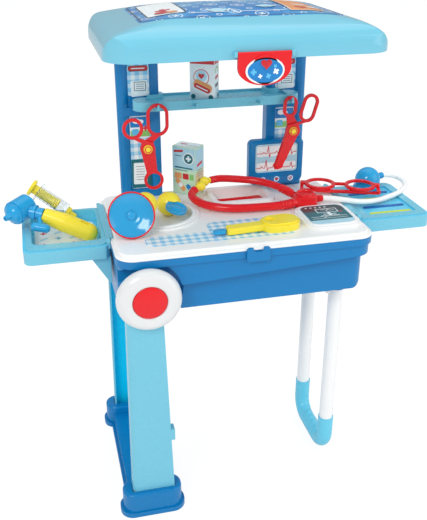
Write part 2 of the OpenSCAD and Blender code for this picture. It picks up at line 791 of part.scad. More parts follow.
module lamp_ball() color(yellow) placed() difference() {
    translate(lamp_at) sphere(lamp_r, $fn = 64);
    along(lens_at, lens_at + lens_axis) translate([0, 0, -3]) cylinder(r = 15.6, h = 6);
}

module lamp_lens() color(tool_blue) placed() along(lens_at, lens_at + lens_axis) {
    translate([0, 0, -2.6]) cylinder(r = 15.4, h = 5.2);
}

// ---- stethoscope --------------------------------------------------------------------------

module yoke() color(red) placed() {
    translate([114, 4.5, deck_z + 0.4]) {
        slab(34, 27, 8, 16);
        translate([0, 0, 16]) difference() {
            cylinder(r = 13, h = 3.5);
            translate([0, 0, 1.5]) cylinder(r = 10.5, h = 3);
        }
    }
    translate([130, 4, 420]) rotate([0, 90, 0]) cylinder(r = 5.5, h = 11);
}

module ear_arms() color(red) placed() {
    sweep(arm_front, arm_r, 12, 4);
    sweep(arm_back, arm_r - 0.5, 12, 4);
}

// Soft tip that fits over the end of an ear arm
module ear_tip(at, from) along(from, at) {
    cylinder(r = 4.2, h = norm(at - from));
    translate([0, 0, norm(at - from)]) sphere(7.4);
}

module ear_tips() color(yellow) placed() {
    ear_tip([-27, 66, 431], arm_front[len(arm_front) - 1]);
    ear_tip([-18, 80, 433], arm_back[len(arm_back) - 1]);
}

module hose() color(white) placed() sweep(hose_route, hose_d / 2, 10, 3);

module bell() color(tool_blue) placed() translate(bell_at) {
    cylinder(r = 21, h = 4);
    translate([0, 0, 4]) cylinder(r = bell_r, h = 9);
    translate([0, 0, 13]) intersection() {
        sphere(bell_r);
        cylinder(r = bell_r + 1, h = bell_r + 1);
    }
    along(stem_from, hose_route[len(hose_route) - 1] - bell_at)
        cylinder(r = 5, h = norm(hose_route[len(hose_route) - 1] - bell_at - stem_from));
}

// ---- spectacles ---------------------------------------------------------------------------

module at_glasses() translate([186, 47, deck_z + 2.2]) rotate([0, 0, -20]) children();

module glasses() color(red) placed() at_glasses() translate([0, 0, 6.5]) linear_extrude(4) difference() {
    union() {
        for (side = [-1, 1]) {
            translate([side * 30, 0]) circle(lens_d / 2 + 5);
            translate([side * 53, 3]) plate(14, 10, 3);
        }
        translate([0, 3]) plate(22, 5, 2);
    }
    for (side = [-1, 1]) translate([side * 30, 0]) circle(lens_d / 2);
}

module glasses_temples() color(red) placed() at_glasses() {
    translate([-11, -19, 3]) slab(96, 5, 2.4, 3.3);
    translate([11, -13, 0]) slab(96, 5, 2.4, 3);
    for (side = [-1, 1]) translate([side * 57.5, -7, 3]) slab(5, 26, 2.4, 3.3);
    translate([57.5, -9, 0]) slab(5, 12, 2.4, 4);
}

// ---- thermometer and tweezers -------------------------------------------------------------

module at_thermometer() translate([14, -69, deck_z + 0.35]) rotate([0, 0, 5]) children();

module thermometer() color(yellow) placed() at_thermometer() difference() {
    union() {
        translate([39, 0, 0]) slab(56, 38, 18.9, 9.5);
        translate([39, 0, 0]) slab(50, 32, 15.9, 12);
        translate([-7, -1, 1]) slab(62, 14, 4, 9);
    }
    translate([26, 3, -1]) cylinder(r = 4, h = 20);
    translate([26, 3, 9]) cylinder(r = 7, h = 5);
}

module thermometer_tip() color(tool_blue) placed() at_thermometer()
    translate([-47.3, -1, 2]) slab(18.5, 9, 4.4, 5.5);

module tweezers() color(red) placed() translate([61, 70.5, deck_z - 12.8]) rotate([0, 0, 1]) {
    for (side = [-1, 1]) linear_extrude(6)
        polygon([[4, side * 8], [4, side * 2], [-66, side * 4], [-66, side * 6]]);
    slab(16, 16, 4, 6);
}

// ---- syringe ------------------------------------------------------------------------------

module at_syringe() along(syringe_top, syringe_tip) children();

module syringe_barrel() color(white) placed() at_syringe() difference() {
    union() {
        translate([0, 0, 12]) cylinder(r = 9.5, h = 48);
        translate([0, 0, 12]) intersection() {
            cylinder(r = 15, h = 2);
            translate([-20, -10, 0]) cube([40, 20, 3]);
        }
    }
    translate([0, 0, 11]) cylinder(r = 8, h = 46);
}

module syringe_plunger() color(yellow) placed() at_syringe() {
    cylinder(r = 12, h = 4.5);
    translate([0, 0, 4]) cylinder(r = 7, h = 36);
    translate([0, 0, 40]) cylinder(r = 7.95, h = 6);
}

module syringe_nozzle() color(yellow) placed() at_syringe() translate([0, 0, 60]) {
    cylinder(r = 6.5, h = 6);
    cylinder(r = 3, h = 16);
}

// ---- ear scope ----------------------------------------------------------------------------

module scope_head() color(tool_blue) placed() difference() {
    union() {
        along(drum_at, drum_at + drum_axis) {
            translate([0, 0, -15]) cylinder(r = 16.5, h = 27);
            translate([0, 0, 11]) cylinder(r = 15, h = 4);
            translate([0, 0, 8]) intersection() {
                sphere(14.9);
                cylinder(r = 20, h = 20);
            }
            translate([0, 0, 18]) cylinder(r1 = 6, r2 = 3.6, h = 12);
            translate([0, 0, -18]) cylinder(r = 13, h = 4);
        }
        along(drum_at, handle_at) {
            cylinder(r = 8.5, h = norm(handle_at - drum_at) - 0.2);
            translate([0, 0, 19]) cylinder(r = 11, h = 4);
        }
    }
    along(drum_at, drum_at + drum_axis) translate([0, 0, 24]) cylinder(r = 1.8, h = 8);
    along(trigger_at, trigger_at + press_axis) cylinder(r = 3 + slack, h = 30);
}

module scope_handle() color(yellow) placed() difference() {
    hull() {
        translate(handle_at) sphere(9.5, $fn = 32);
        translate(handle_at + 0.45 * (handle_end - handle_at)) sphere(13.5, $fn = 32);
        translate(handle_end) sphere(12.5, $fn = 32);
    }
    along(handle_at, handle_end) translate([-20, -20, -20]) cube([40, 40, 20]);
    along(drum_at, handle_at) cylinder(r = 8.6, h = norm(handle_at - drum_at) - 0.1);
    along(trigger_at, trigger_at + press_axis) cylinder(r = 3 + slack, h = 30);
    translate(handle_end + [-6, 0, 9]) rotate([0, 20, -20]) slab(12, 4.5, 2.2, 8);
}

module scope_trigger() color(tool_blue) placed() {
    rod(trigger_at + [-7, 2.2, 1.3], trigger_at + [7, -2.2, -1.3], 6);
    along(trigger_at, trigger_at + press_axis) cylinder(r = 3, h = 19);
}

tub();
latch_clip();
axle();
handle_collars();
leg_front();
leg_back();
foot();
wheel_front();
wheel_back();
hub_front();
hub_back();
tube_front();
tube_back();
grip();
snap_button_front();
snap_button_back();
deck();
deck_stickers();
left_table();
left_bracket();
right_table();
right_bracket();
blue_inserts();
yellow_inserts();
post_left();
post_right();
shelf();
monitor();
stand_stickers();
canopy();
canopy_sticker();
clasp();
left_scissors_upper();
left_scissors_lower();
right_scissors_upper();
right_scissors_lower();
tall_box();
small_box();
mirror_dish();
mirror_ring();
mirror_ball();
lamp_ball();
lamp_lens();
yoke();
ear_arms();
ear_tips();
hose();
bell();
glasses();
glasses_temples();
thermometer();
thermometer_tip();
tweezers();
syringe_barrel();
syringe_plunger();
syringe_nozzle();
scope_head();
scope_handle();
scope_trigger();
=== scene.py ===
"""Toy doctor case opened out as a play table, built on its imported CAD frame.

Every part is modelled in millimetres, measured from the middle of the case, and carried into
the frame's metres at the end. Parts whose CAD shape is right are merged copies of it with
their edges rounded; the others are turned, swept or drawn here.
"""

import json
import math

import bmesh
import bpy
from bpy.props import FloatProperty, FloatVectorProperty, IntProperty, PointerProperty
from mathutils import Matrix, Vector

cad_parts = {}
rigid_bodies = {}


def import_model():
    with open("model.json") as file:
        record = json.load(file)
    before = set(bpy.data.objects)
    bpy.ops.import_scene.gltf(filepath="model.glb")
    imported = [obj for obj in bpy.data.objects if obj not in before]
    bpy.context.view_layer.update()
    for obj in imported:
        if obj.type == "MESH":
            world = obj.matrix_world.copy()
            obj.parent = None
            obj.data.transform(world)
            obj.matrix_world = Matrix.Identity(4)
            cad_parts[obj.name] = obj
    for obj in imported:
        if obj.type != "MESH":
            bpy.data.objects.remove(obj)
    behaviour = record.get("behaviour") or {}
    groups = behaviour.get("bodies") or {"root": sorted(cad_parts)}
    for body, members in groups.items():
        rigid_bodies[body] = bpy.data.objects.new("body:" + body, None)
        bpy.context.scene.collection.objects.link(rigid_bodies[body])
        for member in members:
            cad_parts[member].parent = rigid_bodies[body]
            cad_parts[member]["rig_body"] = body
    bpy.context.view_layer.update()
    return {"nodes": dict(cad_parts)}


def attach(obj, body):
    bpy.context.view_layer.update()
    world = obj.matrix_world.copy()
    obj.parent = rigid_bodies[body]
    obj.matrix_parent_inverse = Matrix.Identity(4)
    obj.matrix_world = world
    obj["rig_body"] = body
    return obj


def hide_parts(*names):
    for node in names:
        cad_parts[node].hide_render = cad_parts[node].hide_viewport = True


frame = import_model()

bl_info = {
    "name": "Toy Doctor Case",
    "version": (1, 0, 0),
    "blender": (4, 5, 0),
    "location": "3D View > Sidebar > Doctor Case",
    "description": "Builds a wheeled toy doctor case opened out as a play table",
    "category": "Add Mesh",
}

MM = 0.001
CASE_MIDDLE = Vector((0.009, 0, 0))
TO_ROW = Matrix.Translation(CASE_MIDDLE) @ Matrix.Scale(MM, 4)

# Places shared by several parts, in millimetres from the middle of the case
DECK_Z = 411.5
AXLE = Vector((-138, 0, 355))
WHEEL_Y = 119
CANOPY_Z = 647
CLASP_BADGE = Vector((8, -121, 634.5))
YOKE_AT = (114, 4.5, 411.9)
CANOPY_HALF = (175, 115)
DISH_AT = Vector((-146, -50, 441.4))
DISH_AXIS = Vector((-0.11, -0.92, 0.37))
LENS_AT = Vector((-76, 5, 424))
LENS_AXIS = Vector((0.25, -0.2, 1))
BELL_AT = Vector((243, 72, 404.3))
SYRINGE_TOP = Vector((-271, 87.8, 443.2))
SYRINGE_TIP = Vector((-208, 66.8, 397.2))
HOSE_ROUTE = [
    (141, 4, 420), (156, 1, 419), (172, -2, 416.8), (190, -4, 413.5), (210, -2, 410.5),
    (232, 5, 408.6), (254, 15, 408.4), (274, 27, 408.4), (290, 41, 409), (300, 56, 410),
    (302.8, 70, 412), (297, 82, 414.5), (285, 85, 417), (272, 81, 419),
]
ARM_FRONT = [
    (98, -3, 420), (78, -8, 419.5), (44, -7, 419), (4, -2, 419), (-24, 12, 419.5),
    (-40, 32, 421), (-44, 51, 424), (-37, 62, 428),
]
ARM_BACK = [
    (101, 15, 424), (94, 28, 427), (80, 48, 430), (60, 65, 432), (34, 76, 433.5),
    (8, 84, 434), (-9, 82, 433.5),
]


# ---- settings shown in the panel -----------------------------------------------------------


def colour(name, text, value):
    return FloatVectorProperty(
        name=name, description=text, subtype="COLOR_GAMMA", size=3, min=0, max=1, default=value
    )


class CaseColours(bpy.types.PropertyGroup):
    light_blue: colour("Light blue", "Canopy, shelf, side tables and legs", (0.46, 0.765, 0.85))
    # Painted shade: a more saturated blue on the side tables' hollows stands in for the shade inside
    # them.
    recess: colour("Recess", "Hollows of the side tables", (0.40, 0.80, 0.92))
    # Painted shade: a deeper, more saturated blue on the legs' inner faces stands in for the shade
    # inside their channels.
    cyan: colour("Cyan", "Inner faces of the folding legs", (0.03, 0.80, 0.95))
    grip_blue: colour("Grip blue", "Grip of the trolley handle", (0.42, 0.80, 0.90))
    blue: colour("Blue", "Tub, foot, posts and monitor", (0.0, 0.475, 0.72))
    deep_blue: colour("Deep blue", "Collars and blue bars", (0.03, 0.38, 0.68))
    tool_blue: colour("Tool blue", "Blue parts of the instruments", (0.16, 0.63, 0.84))
    white: colour("White", "Deck, wheels and handle tubes", (0.96, 0.955, 0.945))
    wheel_white: colour("Wheel white", "Wheels of the case", (0.885, 0.885, 0.88))
    red: colour("Red", "Scissors, stethoscope, clasp and hubs", (0.90, 0.10, 0.13))
    yellow: colour("Yellow", "Yellow parts of the instruments", (1.0, 0.90, 0.24))
    lime: colour("Yellow green", "Bars on the right table", (0.80, 0.88, 0.20))


class PrintColours(bpy.types.PropertyGroup):
    paper: colour("Paper", "Ground of the stickers", (0.96, 0.98, 0.98))
    check_blue: colour("Check blue", "Darkest checks of the gingham", (0.38, 0.76, 0.93))
    picture_blue: colour("Picture blue", "Field of the canopy's sticker", (0.01, 0.50, 0.78))
    panel_blue: colour("Panel blue", "Strip behind the monitor's buttons", (0.02, 0.45, 0.70))
    teal: colour("Teal", "Dark areas of the stickers", (0.0, 0.42, 0.46))
    sky: colour("Sky", "Pale areas of the stickers", (0.70, 0.87, 0.93))
    grey: colour("Grey", "Dark bands of the stickers", (0.24, 0.28, 0.30))
    green: colour("Green", "Green areas of the cartons", (0.55, 0.80, 0.42))
    mint: colour("Mint", "Pale green areas of the cartons", (0.80, 0.92, 0.80))
    orange: colour("Orange", "Warm areas of the cartons", (0.93, 0.62, 0.36))
    sand: colour("Sand", "Side of the tall carton", (0.90, 0.82, 0.70))
    ink_red: colour("Red ink", "Red marks of the prints", (0.82, 0.10, 0.14))


class CaseSizes(bpy.types.PropertyGroup):
    edge: FloatProperty(
        name="Edge rounding", description="Radius that the moulded edges are rounded to",
        default=0.0009, min=0.0002, max=0.002, unit="LENGTH", precision=4,
    )
    edge_steps: IntProperty(
        name="Edge steps", description="Faces across a rounded edge", default=3, min=1, max=5
    )
    check: FloatProperty(
        name="Check", description="Width of one check of the gingham print",
        default=0.0058, min=0.003, max=0.01, unit="LENGTH", precision=4,
    )
    wall: FloatProperty(
        name="Canopy wall", description="Wall thickness of the canopy",
        default=0.0028, min=0.002, max=0.004, unit="LENGTH", precision=4,
    )
    hose: FloatProperty(
        name="Hose", description="Diameter of the white stethoscope hose",
        default=0.008, min=0.006, max=0.009, unit="LENGTH", precision=4,
    )
    rib: FloatProperty(
        name="Rib height", description="How far the ribs stand out of an ear arm",
        default=0.0012, min=0.0003, max=0.002, unit="LENGTH", precision=4,
    )


class StageSettings(bpy.types.PropertyGroup):
    lens: FloatProperty(
        name="Lens", description="Focal length of the camera", default=0.05171,
        min=0.02, max=0.2, unit="CAMERA",
    )
    key: FloatProperty(
        name="Key light", description="Power of the large light at the left", default=29,
        min=0, max=500, unit="POWER",
    )
    fill: FloatProperty(
        name="Fill light", description="Power of the light at the right", default=19,
        min=0, max=500, unit="POWER",
    )
    top: FloatProperty(
        name="Top light", description="Power of the light overhead", default=14,
        min=0, max=500, unit="POWER",
    )
    sky: FloatProperty(
        name="Room light", description="Strength of the even light all round", default=0.76,
        min=0, max=2,
    )
    mirrored: FloatProperty(
        name="Mirrored room", description="Strength of the room as glossy faces reflect it",
        default=0.4, min=0, max=2,
    )
    floor: colour("Floor", "Colour of the floor", (0.93, 0.93, 0.93))


# ---- materials -----------------------------------------------------------------------------


def linear(tone, shade=1.0):
    """Shader colour of a screen colour, made lighter or darker by shade."""
    channels = [
        c / 12.92 if c <= 0.04045 else ((c + 0.055) / 1.055) ** 2.4 for c in tone
    ]
    return (*[min(c * shade, 1) for c in channels], 1)


class Recipe:
    """One material while its nodes are laid out."""

    def __init__(self, name):
        self.material = bpy.data.materials.new(name)
        self.material.use_nodes = True
        self.nodes = self.material.node_tree.nodes
        self.links = self.material.node_tree.links
        self.shader = self.nodes["Principled BSDF"]
        self.place = self.node("ShaderNodeTexCoord").outputs["Object"]

    def node(self, kind, **settings):
        node = self.nodes.new(kind)
        for key, value in settings.items():
            setattr(node, key, value)
        return node

    def feed(self, socket, value):
        if isinstance(value, bpy.types.NodeSocket):
            self.links.new(value, socket)
        else:
            socket.default_value = value

    def set(self, **values):
        """Numbers that are the same all over, on the shader's own sockets."""
        for key, value in values.items():
            self.shader.inputs[key.replace("_", " ")].default_value = value

    def math(self, operation, *values):
        node = self.node("ShaderNodeMath", operation=operation)
        for socket, value in zip(node.inputs, values):
            self.feed(socket, value)
        return node.outputs[0]

    def mix(self, share, first, second):
        node = self.node("ShaderNodeMix", data_type="RGBA")
        self.feed(node.inputs[0], share)
        self.feed(node.inputs[6], first)
        self.feed(node.inputs[7], second)
        return node.outputs[2]

    def noise(self, scale, detail=2.0, place=None):
        node = self.node("ShaderNodeTexNoise")
        self.feed(node.inputs["Vector"], place or self.place)
        node.inputs["Scale"].default_value = scale
        node.inputs["Detail"].default_value = detail
        return node.outputs[0]

    def spread(self, value, low, high, out_low=0.0, out_high=1.0):
        node = self.node("ShaderNodeMapRange")
        for socket, number in zip(node.inputs, (value, low, high, out_low, out_high)):
            self.feed(socket, number)
        return node.outputs[0]

    def axes(self, place=None):
        node = self.node("ShaderNodeSeparateXYZ")
        self.feed(node.inputs[0], place or self.place)
        return node.outputs

    def relief(self, height, depth, strength=1.0):
        node = self.node("ShaderNodeBump")
        node.inputs["Strength"].default_value = strength
        node.inputs["Distance"].default_value = depth
        self.feed(node.inputs["Height"], height)
        self.feed(self.shader.inputs["Normal"], node.outputs[0])

    def moulded_skin(self, gloss, grain):
        """Slow waves, fine grain and uneven gloss of a moulded surface."""
        wave = self.noise(46, 1)
        fine = self.noise(1300, 2)
        wiped = self.noise(24, 5)
        self.feed(
            self.shader.inputs["Roughness"],
            self.spread(wiped, 0.3, 0.7, gloss - 0.02, gloss + 0.04),
        )
        both = self.math(
            "ADD", self.math("MULTIPLY", wave, 0.05), self.math("MULTIPLY", fine, grain))
        self.relief(both, 0.0005, 0.15)


def plastic(context, tone, gloss=0.26, coat=0.15):
    """Glossy coloured plastic with a faint drift of its pigment."""
    name = "plastic_%s_%d" % (tone, round(100 * gloss))
    if name in bpy.data.materials:
        return bpy.data.materials[name]
    value = getattr(context.scene.case_colours, tone)
    recipe = Recipe(name)
    drift = recipe.spread(recipe.noise(6, 2), 0.3, 0.7)
    body = recipe.mix(drift, linear(value, 0.98), linear(value, 1.02))
    speck = recipe.spread(recipe.noise(600, 2), 0.62, 0.8, 0, 0.06)
    recipe.feed(recipe.shader.inputs["Base Color"], recipe.mix(speck, body, linear(value, 0.8)))
    recipe.moulded_skin(gloss, 0.01)
    recipe.set(IOR=1.4, Coat_Weight=coat, Coat_Roughness=0.08)
    return recipe.material


def ink(context, tone, gloss=0.34):
    """One flat printed colour under a clear film, with a trace of the printing screen."""
    name = "print_" + tone
    if name in bpy.data.materials:
        return bpy.data.materials[name]
    value = getattr(context.scene.print_colours, tone)
    recipe = Recipe(name)
    uneven = recipe.spread(recipe.noise(150, 3), 0.3, 0.7)
    body = recipe.mix(uneven, linear(value, 0.93), linear(value, 1.03))
    recipe.feed(recipe.shader.inputs["Base Color"], body)
    recipe.moulded_skin(gloss, 0.02)
    recipe.set(IOR=1.47, Coat_Weight=0.3, Coat_Roughness=0.2)
    return recipe.material


def gingham(context, name, upright):
    """Blue and white checks, printed flat or on an upright face."""
    if name in bpy.data.materials:
        return bpy.data.materials[name]
    prints = context.scene.print_colours
    pair = 2 * context.scene.case_sizes.check
    recipe = Recipe(name)
    x, y, z = recipe.axes()
    rows = z if upright else y

    def stripe(along):
        turns = recipe.math("FRACT", recipe.math("DIVIDE", along, pair))
        return recipe.math("LESS_THAN", turns, 0.5)

    def threads(along):
        turns = recipe.math("FRACT", recipe.math("DIVIDE", along, pair / 16))
        return recipe.math("LESS_THAN", turns, 0.5)

    both = recipe.math("ADD", stripe(x), stripe(rows))
    weave = recipe.math("MULTIPLY", recipe.math("ADD", threads(x), threads(rows)), 0.05)
    share = recipe.math("MULTIPLY", both, recipe.math("SUBTRACT", 0.5, weave))
    body = recipe.mix(share, linear(prints.paper), linear(prints.check_blue, 0.96))
    fade = recipe.spread(recipe.noise(20, 3), 0.3, 0.7, 0, 0.12)
    recipe.feed(recipe.shader.inputs["Base Color"], recipe.mix(fade, body, linear(prints.sky)))
    recipe.moulded_skin(0.32, 0.02)
    recipe.set(IOR=1.47, Coat_Weight=0.3, Coat_Roughness=0.18)
    return recipe.material


def icon_field(context):
    """The canopy's picture sticker: white line signs on blue, with paler end panels."""
    name = "print_icon_field"
    if name in bpy.data.materials:
        return bpy.data.materials[name]
    prints = context.scene.print_colours
    recipe = Recipe(name)
    turned = recipe.node("ShaderNodeMapping")
    turned.inputs["Rotation"].default_value = (0, 0, 0.35)
    recipe.feed(turned.inputs["Vector"], recipe.place)
    x, y, _ = recipe.axes(turned.outputs[0])
    cell = 0.033

    def local(along, offset):
        turns = recipe.math("FRACT", recipe.math("ADD", recipe.math("DIVIDE", along, cell), offset))
        return recipe.math("SUBTRACT", turns, 0.5)

    def ring(u, v, radius, width):
        reach = recipe.math("SQRT", recipe.math(
            "ADD", recipe.math("MULTIPLY", u, u), recipe.math("MULTIPLY", v, v)))
        gap = recipe.math("ABSOLUTE", recipe.math("SUBTRACT", reach, radius))
        return recipe.math("LESS_THAN", gap, width)

    def cross(u, v, arm, half):
        far = recipe.math("MAXIMUM", recipe.math("ABSOLUTE", u), recipe.math("ABSOLUTE", v))
        near = recipe.math("MINIMUM", recipe.math("ABSOLUTE", u), recipe.math("ABSOLUTE", v))
        return recipe.math(
            "MULTIPLY", recipe.math("LESS_THAN", far, arm), recipe.math("LESS_THAN", near, half))

    u, v = local(x, 0.0), local(y, 0.0)
    p, q = local(x, 0.5), local(y, 0.5)
    signs = recipe.math("MAXIMUM", ring(u, v, 0.24, 0.022), cross(u, v, 0.13, 0.04))
    signs = recipe.math("MAXIMUM", signs, ring(p, q, 0.1, 0.02))
    cloud = recipe.spread(recipe.noise(16, 2), 0.45, 0.55, 0, 0.35)
    field = recipe.mix(cloud, linear(prints.picture_blue), linear(prints.check_blue))
    body = recipe.mix(recipe.math("MULTIPLY", signs, 0.75), field, linear(prints.paper))
    recipe.feed(recipe.shader.inputs["Base Color"], body)
    recipe.moulded_skin(0.3, 0.02)
    recipe.set(IOR=1.47, Coat_Weight=0.4, Coat_Roughness=0.15)
    return recipe.material


def clear_plastic(context):
    """Clear moulded plastic, a little smoky."""
    name = "plastic_clear"
    if name in bpy.data.materials:
        return bpy.data.materials[name]
    recipe = Recipe(name)
    smoke = recipe.spread(recipe.noise(40, 2), 0.3, 0.7)
    tint = recipe.mix(smoke, (0.93, 0.96, 0.97, 1), (0.82, 0.88, 0.90, 1))
    recipe.feed(recipe.shader.inputs["Base Color"], tint)
    recipe.feed(recipe.shader.inputs["Roughness"], recipe.spread(smoke, 0, 1, 0.02, 0.05))
    recipe.set(IOR=1.12, Transmission_Weight=0.96, Coat_Weight=0.6, Coat_Roughness=0.05)
    return recipe.material


def bright_steel(context):
    """Plain turned steel rod."""
    name = "steel"
    if name in bpy.data.materials:
        return bpy.data.materials[name]
    recipe = Recipe(name)
    streak = recipe.node("ShaderNodeMapping")
    streak.inputs["Scale"].default_value = (900, 20, 900)
    recipe.feed(streak.inputs["Vector"], recipe.place)
    lines = recipe.noise(1, 3, streak.outputs[0])
    recipe.feed(
        recipe.shader.inputs["Base Color"],
        recipe.mix(lines, (0.48, 0.49, 0.51, 1), (0.62, 0.63, 0.65, 1)),
    )
    recipe.feed(recipe.shader.inputs["Roughness"], recipe.spread(lines, 0.3, 0.7, 0.22, 0.36))
    recipe.relief(lines, 0.00005, 0.3)
    recipe.set(Metallic=1.0)
    return recipe.material


# ---- shaping -------------------------------------------------------------------------------


def rounded_box(width, height, *radii, steps=6):
    """Outline of a rounded rectangle, its corners from the lower left round by the right."""
    if len(radii) == 1:
        radii = radii * 4
    corners = [(-1, -1, 180), (1, -1, 270), (1, 1, 0), (-1, 1, 90)]
    outline = []
    for (sx, sy, start), r in zip(corners, radii):
        cx, cy = sx * (width / 2 - r), sy * (height / 2 - r)
        for k in range(steps + 1):
            a = math.radians(start + 90 * k / steps)
            outline.append((cx + r * math.cos(a), cy + r * math.sin(a)))
    return outline


def round_outline(radius, squash=1.0, steps=36):
    turns = [2 * math.pi * k / steps for k in range(steps)]
    return [(radius * math.cos(a), squash * radius * math.sin(a)) for a in turns]


def heart_outline(width, steps=32):
    outline = []
    for k in range(steps):
        t = 2 * math.pi * k / steps
        x = 16 * math.sin(t) ** 3
        y = 13 * math.cos(t) - 5 * math.cos(2 * t) - 2 * math.cos(3 * t) - math.cos(4 * t)
        outline.append((-x * width / 32, y * width / 32))
    return outline


def cross_outline(size, arm):
    s, a = size / 2, arm / 2
    return [(-a, -s), (a, -s), (a, -a), (s, -a), (s, a), (a, a),
            (a, s), (-a, s), (-a, a), (-s, a), (-s, -a), (-a, -a)]


def slab(outline, depth):
    """An outline given thickness, from z 0 up."""
    shape = bmesh.new()
    face = shape.faces.new([shape.verts.new((x, y, 0)) for x, y in outline])
    grown = bmesh.ops.extrude_face_region(shape, geom=[face])
    raised = [v for v in grown["geom"] if isinstance(v, bmesh.types.BMVert)]
    bmesh.ops.translate(shape, verts=raised, vec=(0, 0, depth))
    bmesh.ops.recalc_face_normals(shape, faces=shape.faces)
    return shape


def soften(shape, width, segments=3, angle=40):
    """Rounds every edge sharper than the angle."""
    limit = math.radians(angle)
    edges = [e for e in shape.edges if e.is_manifold and e.calc_face_angle(0) > limit]
    bmesh.ops.bevel(
        shape, geom=edges, offset=width, offset_type="OFFSET", affect="EDGES",
        segments=segments, profile=0.5, material=-1, clamp_overlap=True,
    )
    return shape


def turned(profile, steps=48):
    """A profile of (radius, height) points turned round Z."""
    shape = bmesh.new()
    points = [shape.verts.new((r, 0, z)) for r, z in profile]
    edges = [shape.edges.new(pair) for pair in zip(points, points[1:])]
    bmesh.ops.spin(
        shape, geom=points + edges, axis=(0, 0, 1), cent=(0, 0, 0), dvec=(0, 0, 0),
        angle=2 * math.pi, steps=steps, use_merge=True, use_duplicate=False,
    )
    bmesh.ops.remove_doubles(shape, verts=shape.verts, dist=0.001)
    bmesh.ops.recalc_face_normals(shape, faces=shape.faces)
    return shape


def arc(middle, radius, start, end, steps=10):
    """Points of an arc in a profile, angles in degrees."""
    return [
        (middle[0] + radius * math.cos(math.radians(start + (end - start) * k / steps)),
         middle[1] + radius * math.sin(math.radians(start + (end - start) * k / steps)))
        for k in range(steps + 1)
    ]


def aimed(at, axis):
    """Turns +Z to the axis and starts at the point."""
    turn = Vector(axis).to_track_quat("Z", "Y").to_matrix().to_4x4()
    return Matrix.Translation(Vector(at)) @ turn


def turned_about_z(at, degrees):
    return Matrix.Translation(Vector(at)) @ Matrix.Rotation(math.radians(degrees), 4, "Z")


def join(target, shape, matrix=None, finish=0):
    """Adds a shape to a target, in its place, with a finish number of its own."""
    if matrix is not None:
        bmesh.ops.transform(shape, matrix=matrix, verts=shape.verts)
        if matrix.determinant() < 0:
            bmesh.ops.reverse_faces(shape, faces=shape.faces)
    for face in shape.faces:
        face.material_index = finish
    mesh = bpy.data.meshes.new("joined")
    shape.to_mesh(mesh)
    shape.free()
    target.from_mesh(mesh)
    bpy.data.meshes.remove(mesh)


def curve_points(route, per):
    """Evenly numbered points of a smooth curve through the route, each with its direction."""
    points = [Vector(p) for p in route]
    found = []
    for i in range(len(points) - 1):
        a, b = points[max(i - 1, 0)], points[i]
        c, d = points[i + 1], points[min(i + 2, len(points) - 1)]
        last = i == len(points) - 2
        for k in range(per + (1 if last else 0)):
            u = k / per
            at = 0.5 * (2 * b + (c - a) * u + (2 * a - 5 * b + 4 * c - d) * u * u
                        + (3 * b - a - 3 * c + d) * u ** 3)
            way = 0.5 * ((c - a) + 2 * (2 * a - 5 * b + 4 * c - d) * u
                         + 3 * (3 * b - a - 3 * c + d) * u * u)
            found.append((at, way))
    return found


def swept(route, radius, per=12, around=6):
    """A round bar along a route; radius is a function of the length travelled."""
    path = [at for at, _ in curve_points(route, per)]
    line = bpy.data.curves.new("swept", "CURVE")
    line.dimensions = "3D"
    line.bevel_depth = 1.0
    line.bevel_resolution = around
    line.use_fill_caps = True
    spline = line.splines.new("POLY")
    spline.points.add(len(path) - 1)
    travelled = 0.0
    for k, at in enumerate(path):
        if k:
            travelled += (at - path[k - 1]).length
        spline.points[k].co = (*at, 1)
        spline.points[k].radius = radius(travelled)
    holder = bpy.data.objects.new("swept", line)
    mesh = bpy.data.meshes.new_from_object(holder)
    shape = bmesh.new()
    shape.from_mesh(mesh)
    bpy.data.objects.remove(holder)
    bpy.data.curves.remove(line)
    bpy.data.meshes.remove(mesh)
    bmesh.ops.remove_doubles(shape, verts=shape.verts, dist=0.001)
    bmesh.ops.recalc_face_normals(shape, faces=shape.faces)
    return shape


def set_down(context, name, mesh, body, materials, stands_for=(), crease=40):
    """Puts a finished mesh into the scene as a piece of the object."""
    for material in materials:
        mesh.materials.append(material)
    mesh.polygons.foreach_set("use_smooth", [True] * len(mesh.polygons))
    if crease:
        mesh.set_sharp_from_angle(angle=math.radians(crease))
    piece = bpy.data.objects.new(name, mesh)
    context.scene.collection.objects.link(piece)
    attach(piece, body)
    if stands_for:
        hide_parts(*stands_for)
    return piece


def made(context, name, shape, body, materials, stands_for=(), crease=40, place=None):
    """A shape drawn in millimetres, in its place or moved to it, becomes a piece."""
    if place is not None:
        bmesh.ops.transform(shape, matrix=place, verts=shape.verts)
    bmesh.ops.transform(shape, matrix=TO_ROW, verts=shape.verts)
    mesh = bpy.data.meshes.new(name)
    shape.to_mesh(mesh)
    shape.free()
    return set_down(context, name, mesh, body, materials, stands_for, crease)


def soften_some(shape, soft):
    """Rounds chosen sharp edges of a CAD copy widely, the widest first."""
    found = {}
    for edge in shape.edges:
        if not edge.is_manifold or edge.calc_face_angle(0) < math.radians(30):
            continue
        ends = [(v.co - CASE_MIDDLE) / MM for v in edge.verts]
        width = soft(*ends)
        if width:
            found.setdefault(width, []).append(edge)
    for width in sorted(found, reverse=True):
        edges = [e for e in found[width] if e.is_valid]
        bmesh.ops.bevel(
            shape, geom=edges, offset=width * MM, offset_type="OFFSET", affect="EDGES",
            segments=5, profile=0.5, material=-1, clamp_overlap=False,
        )


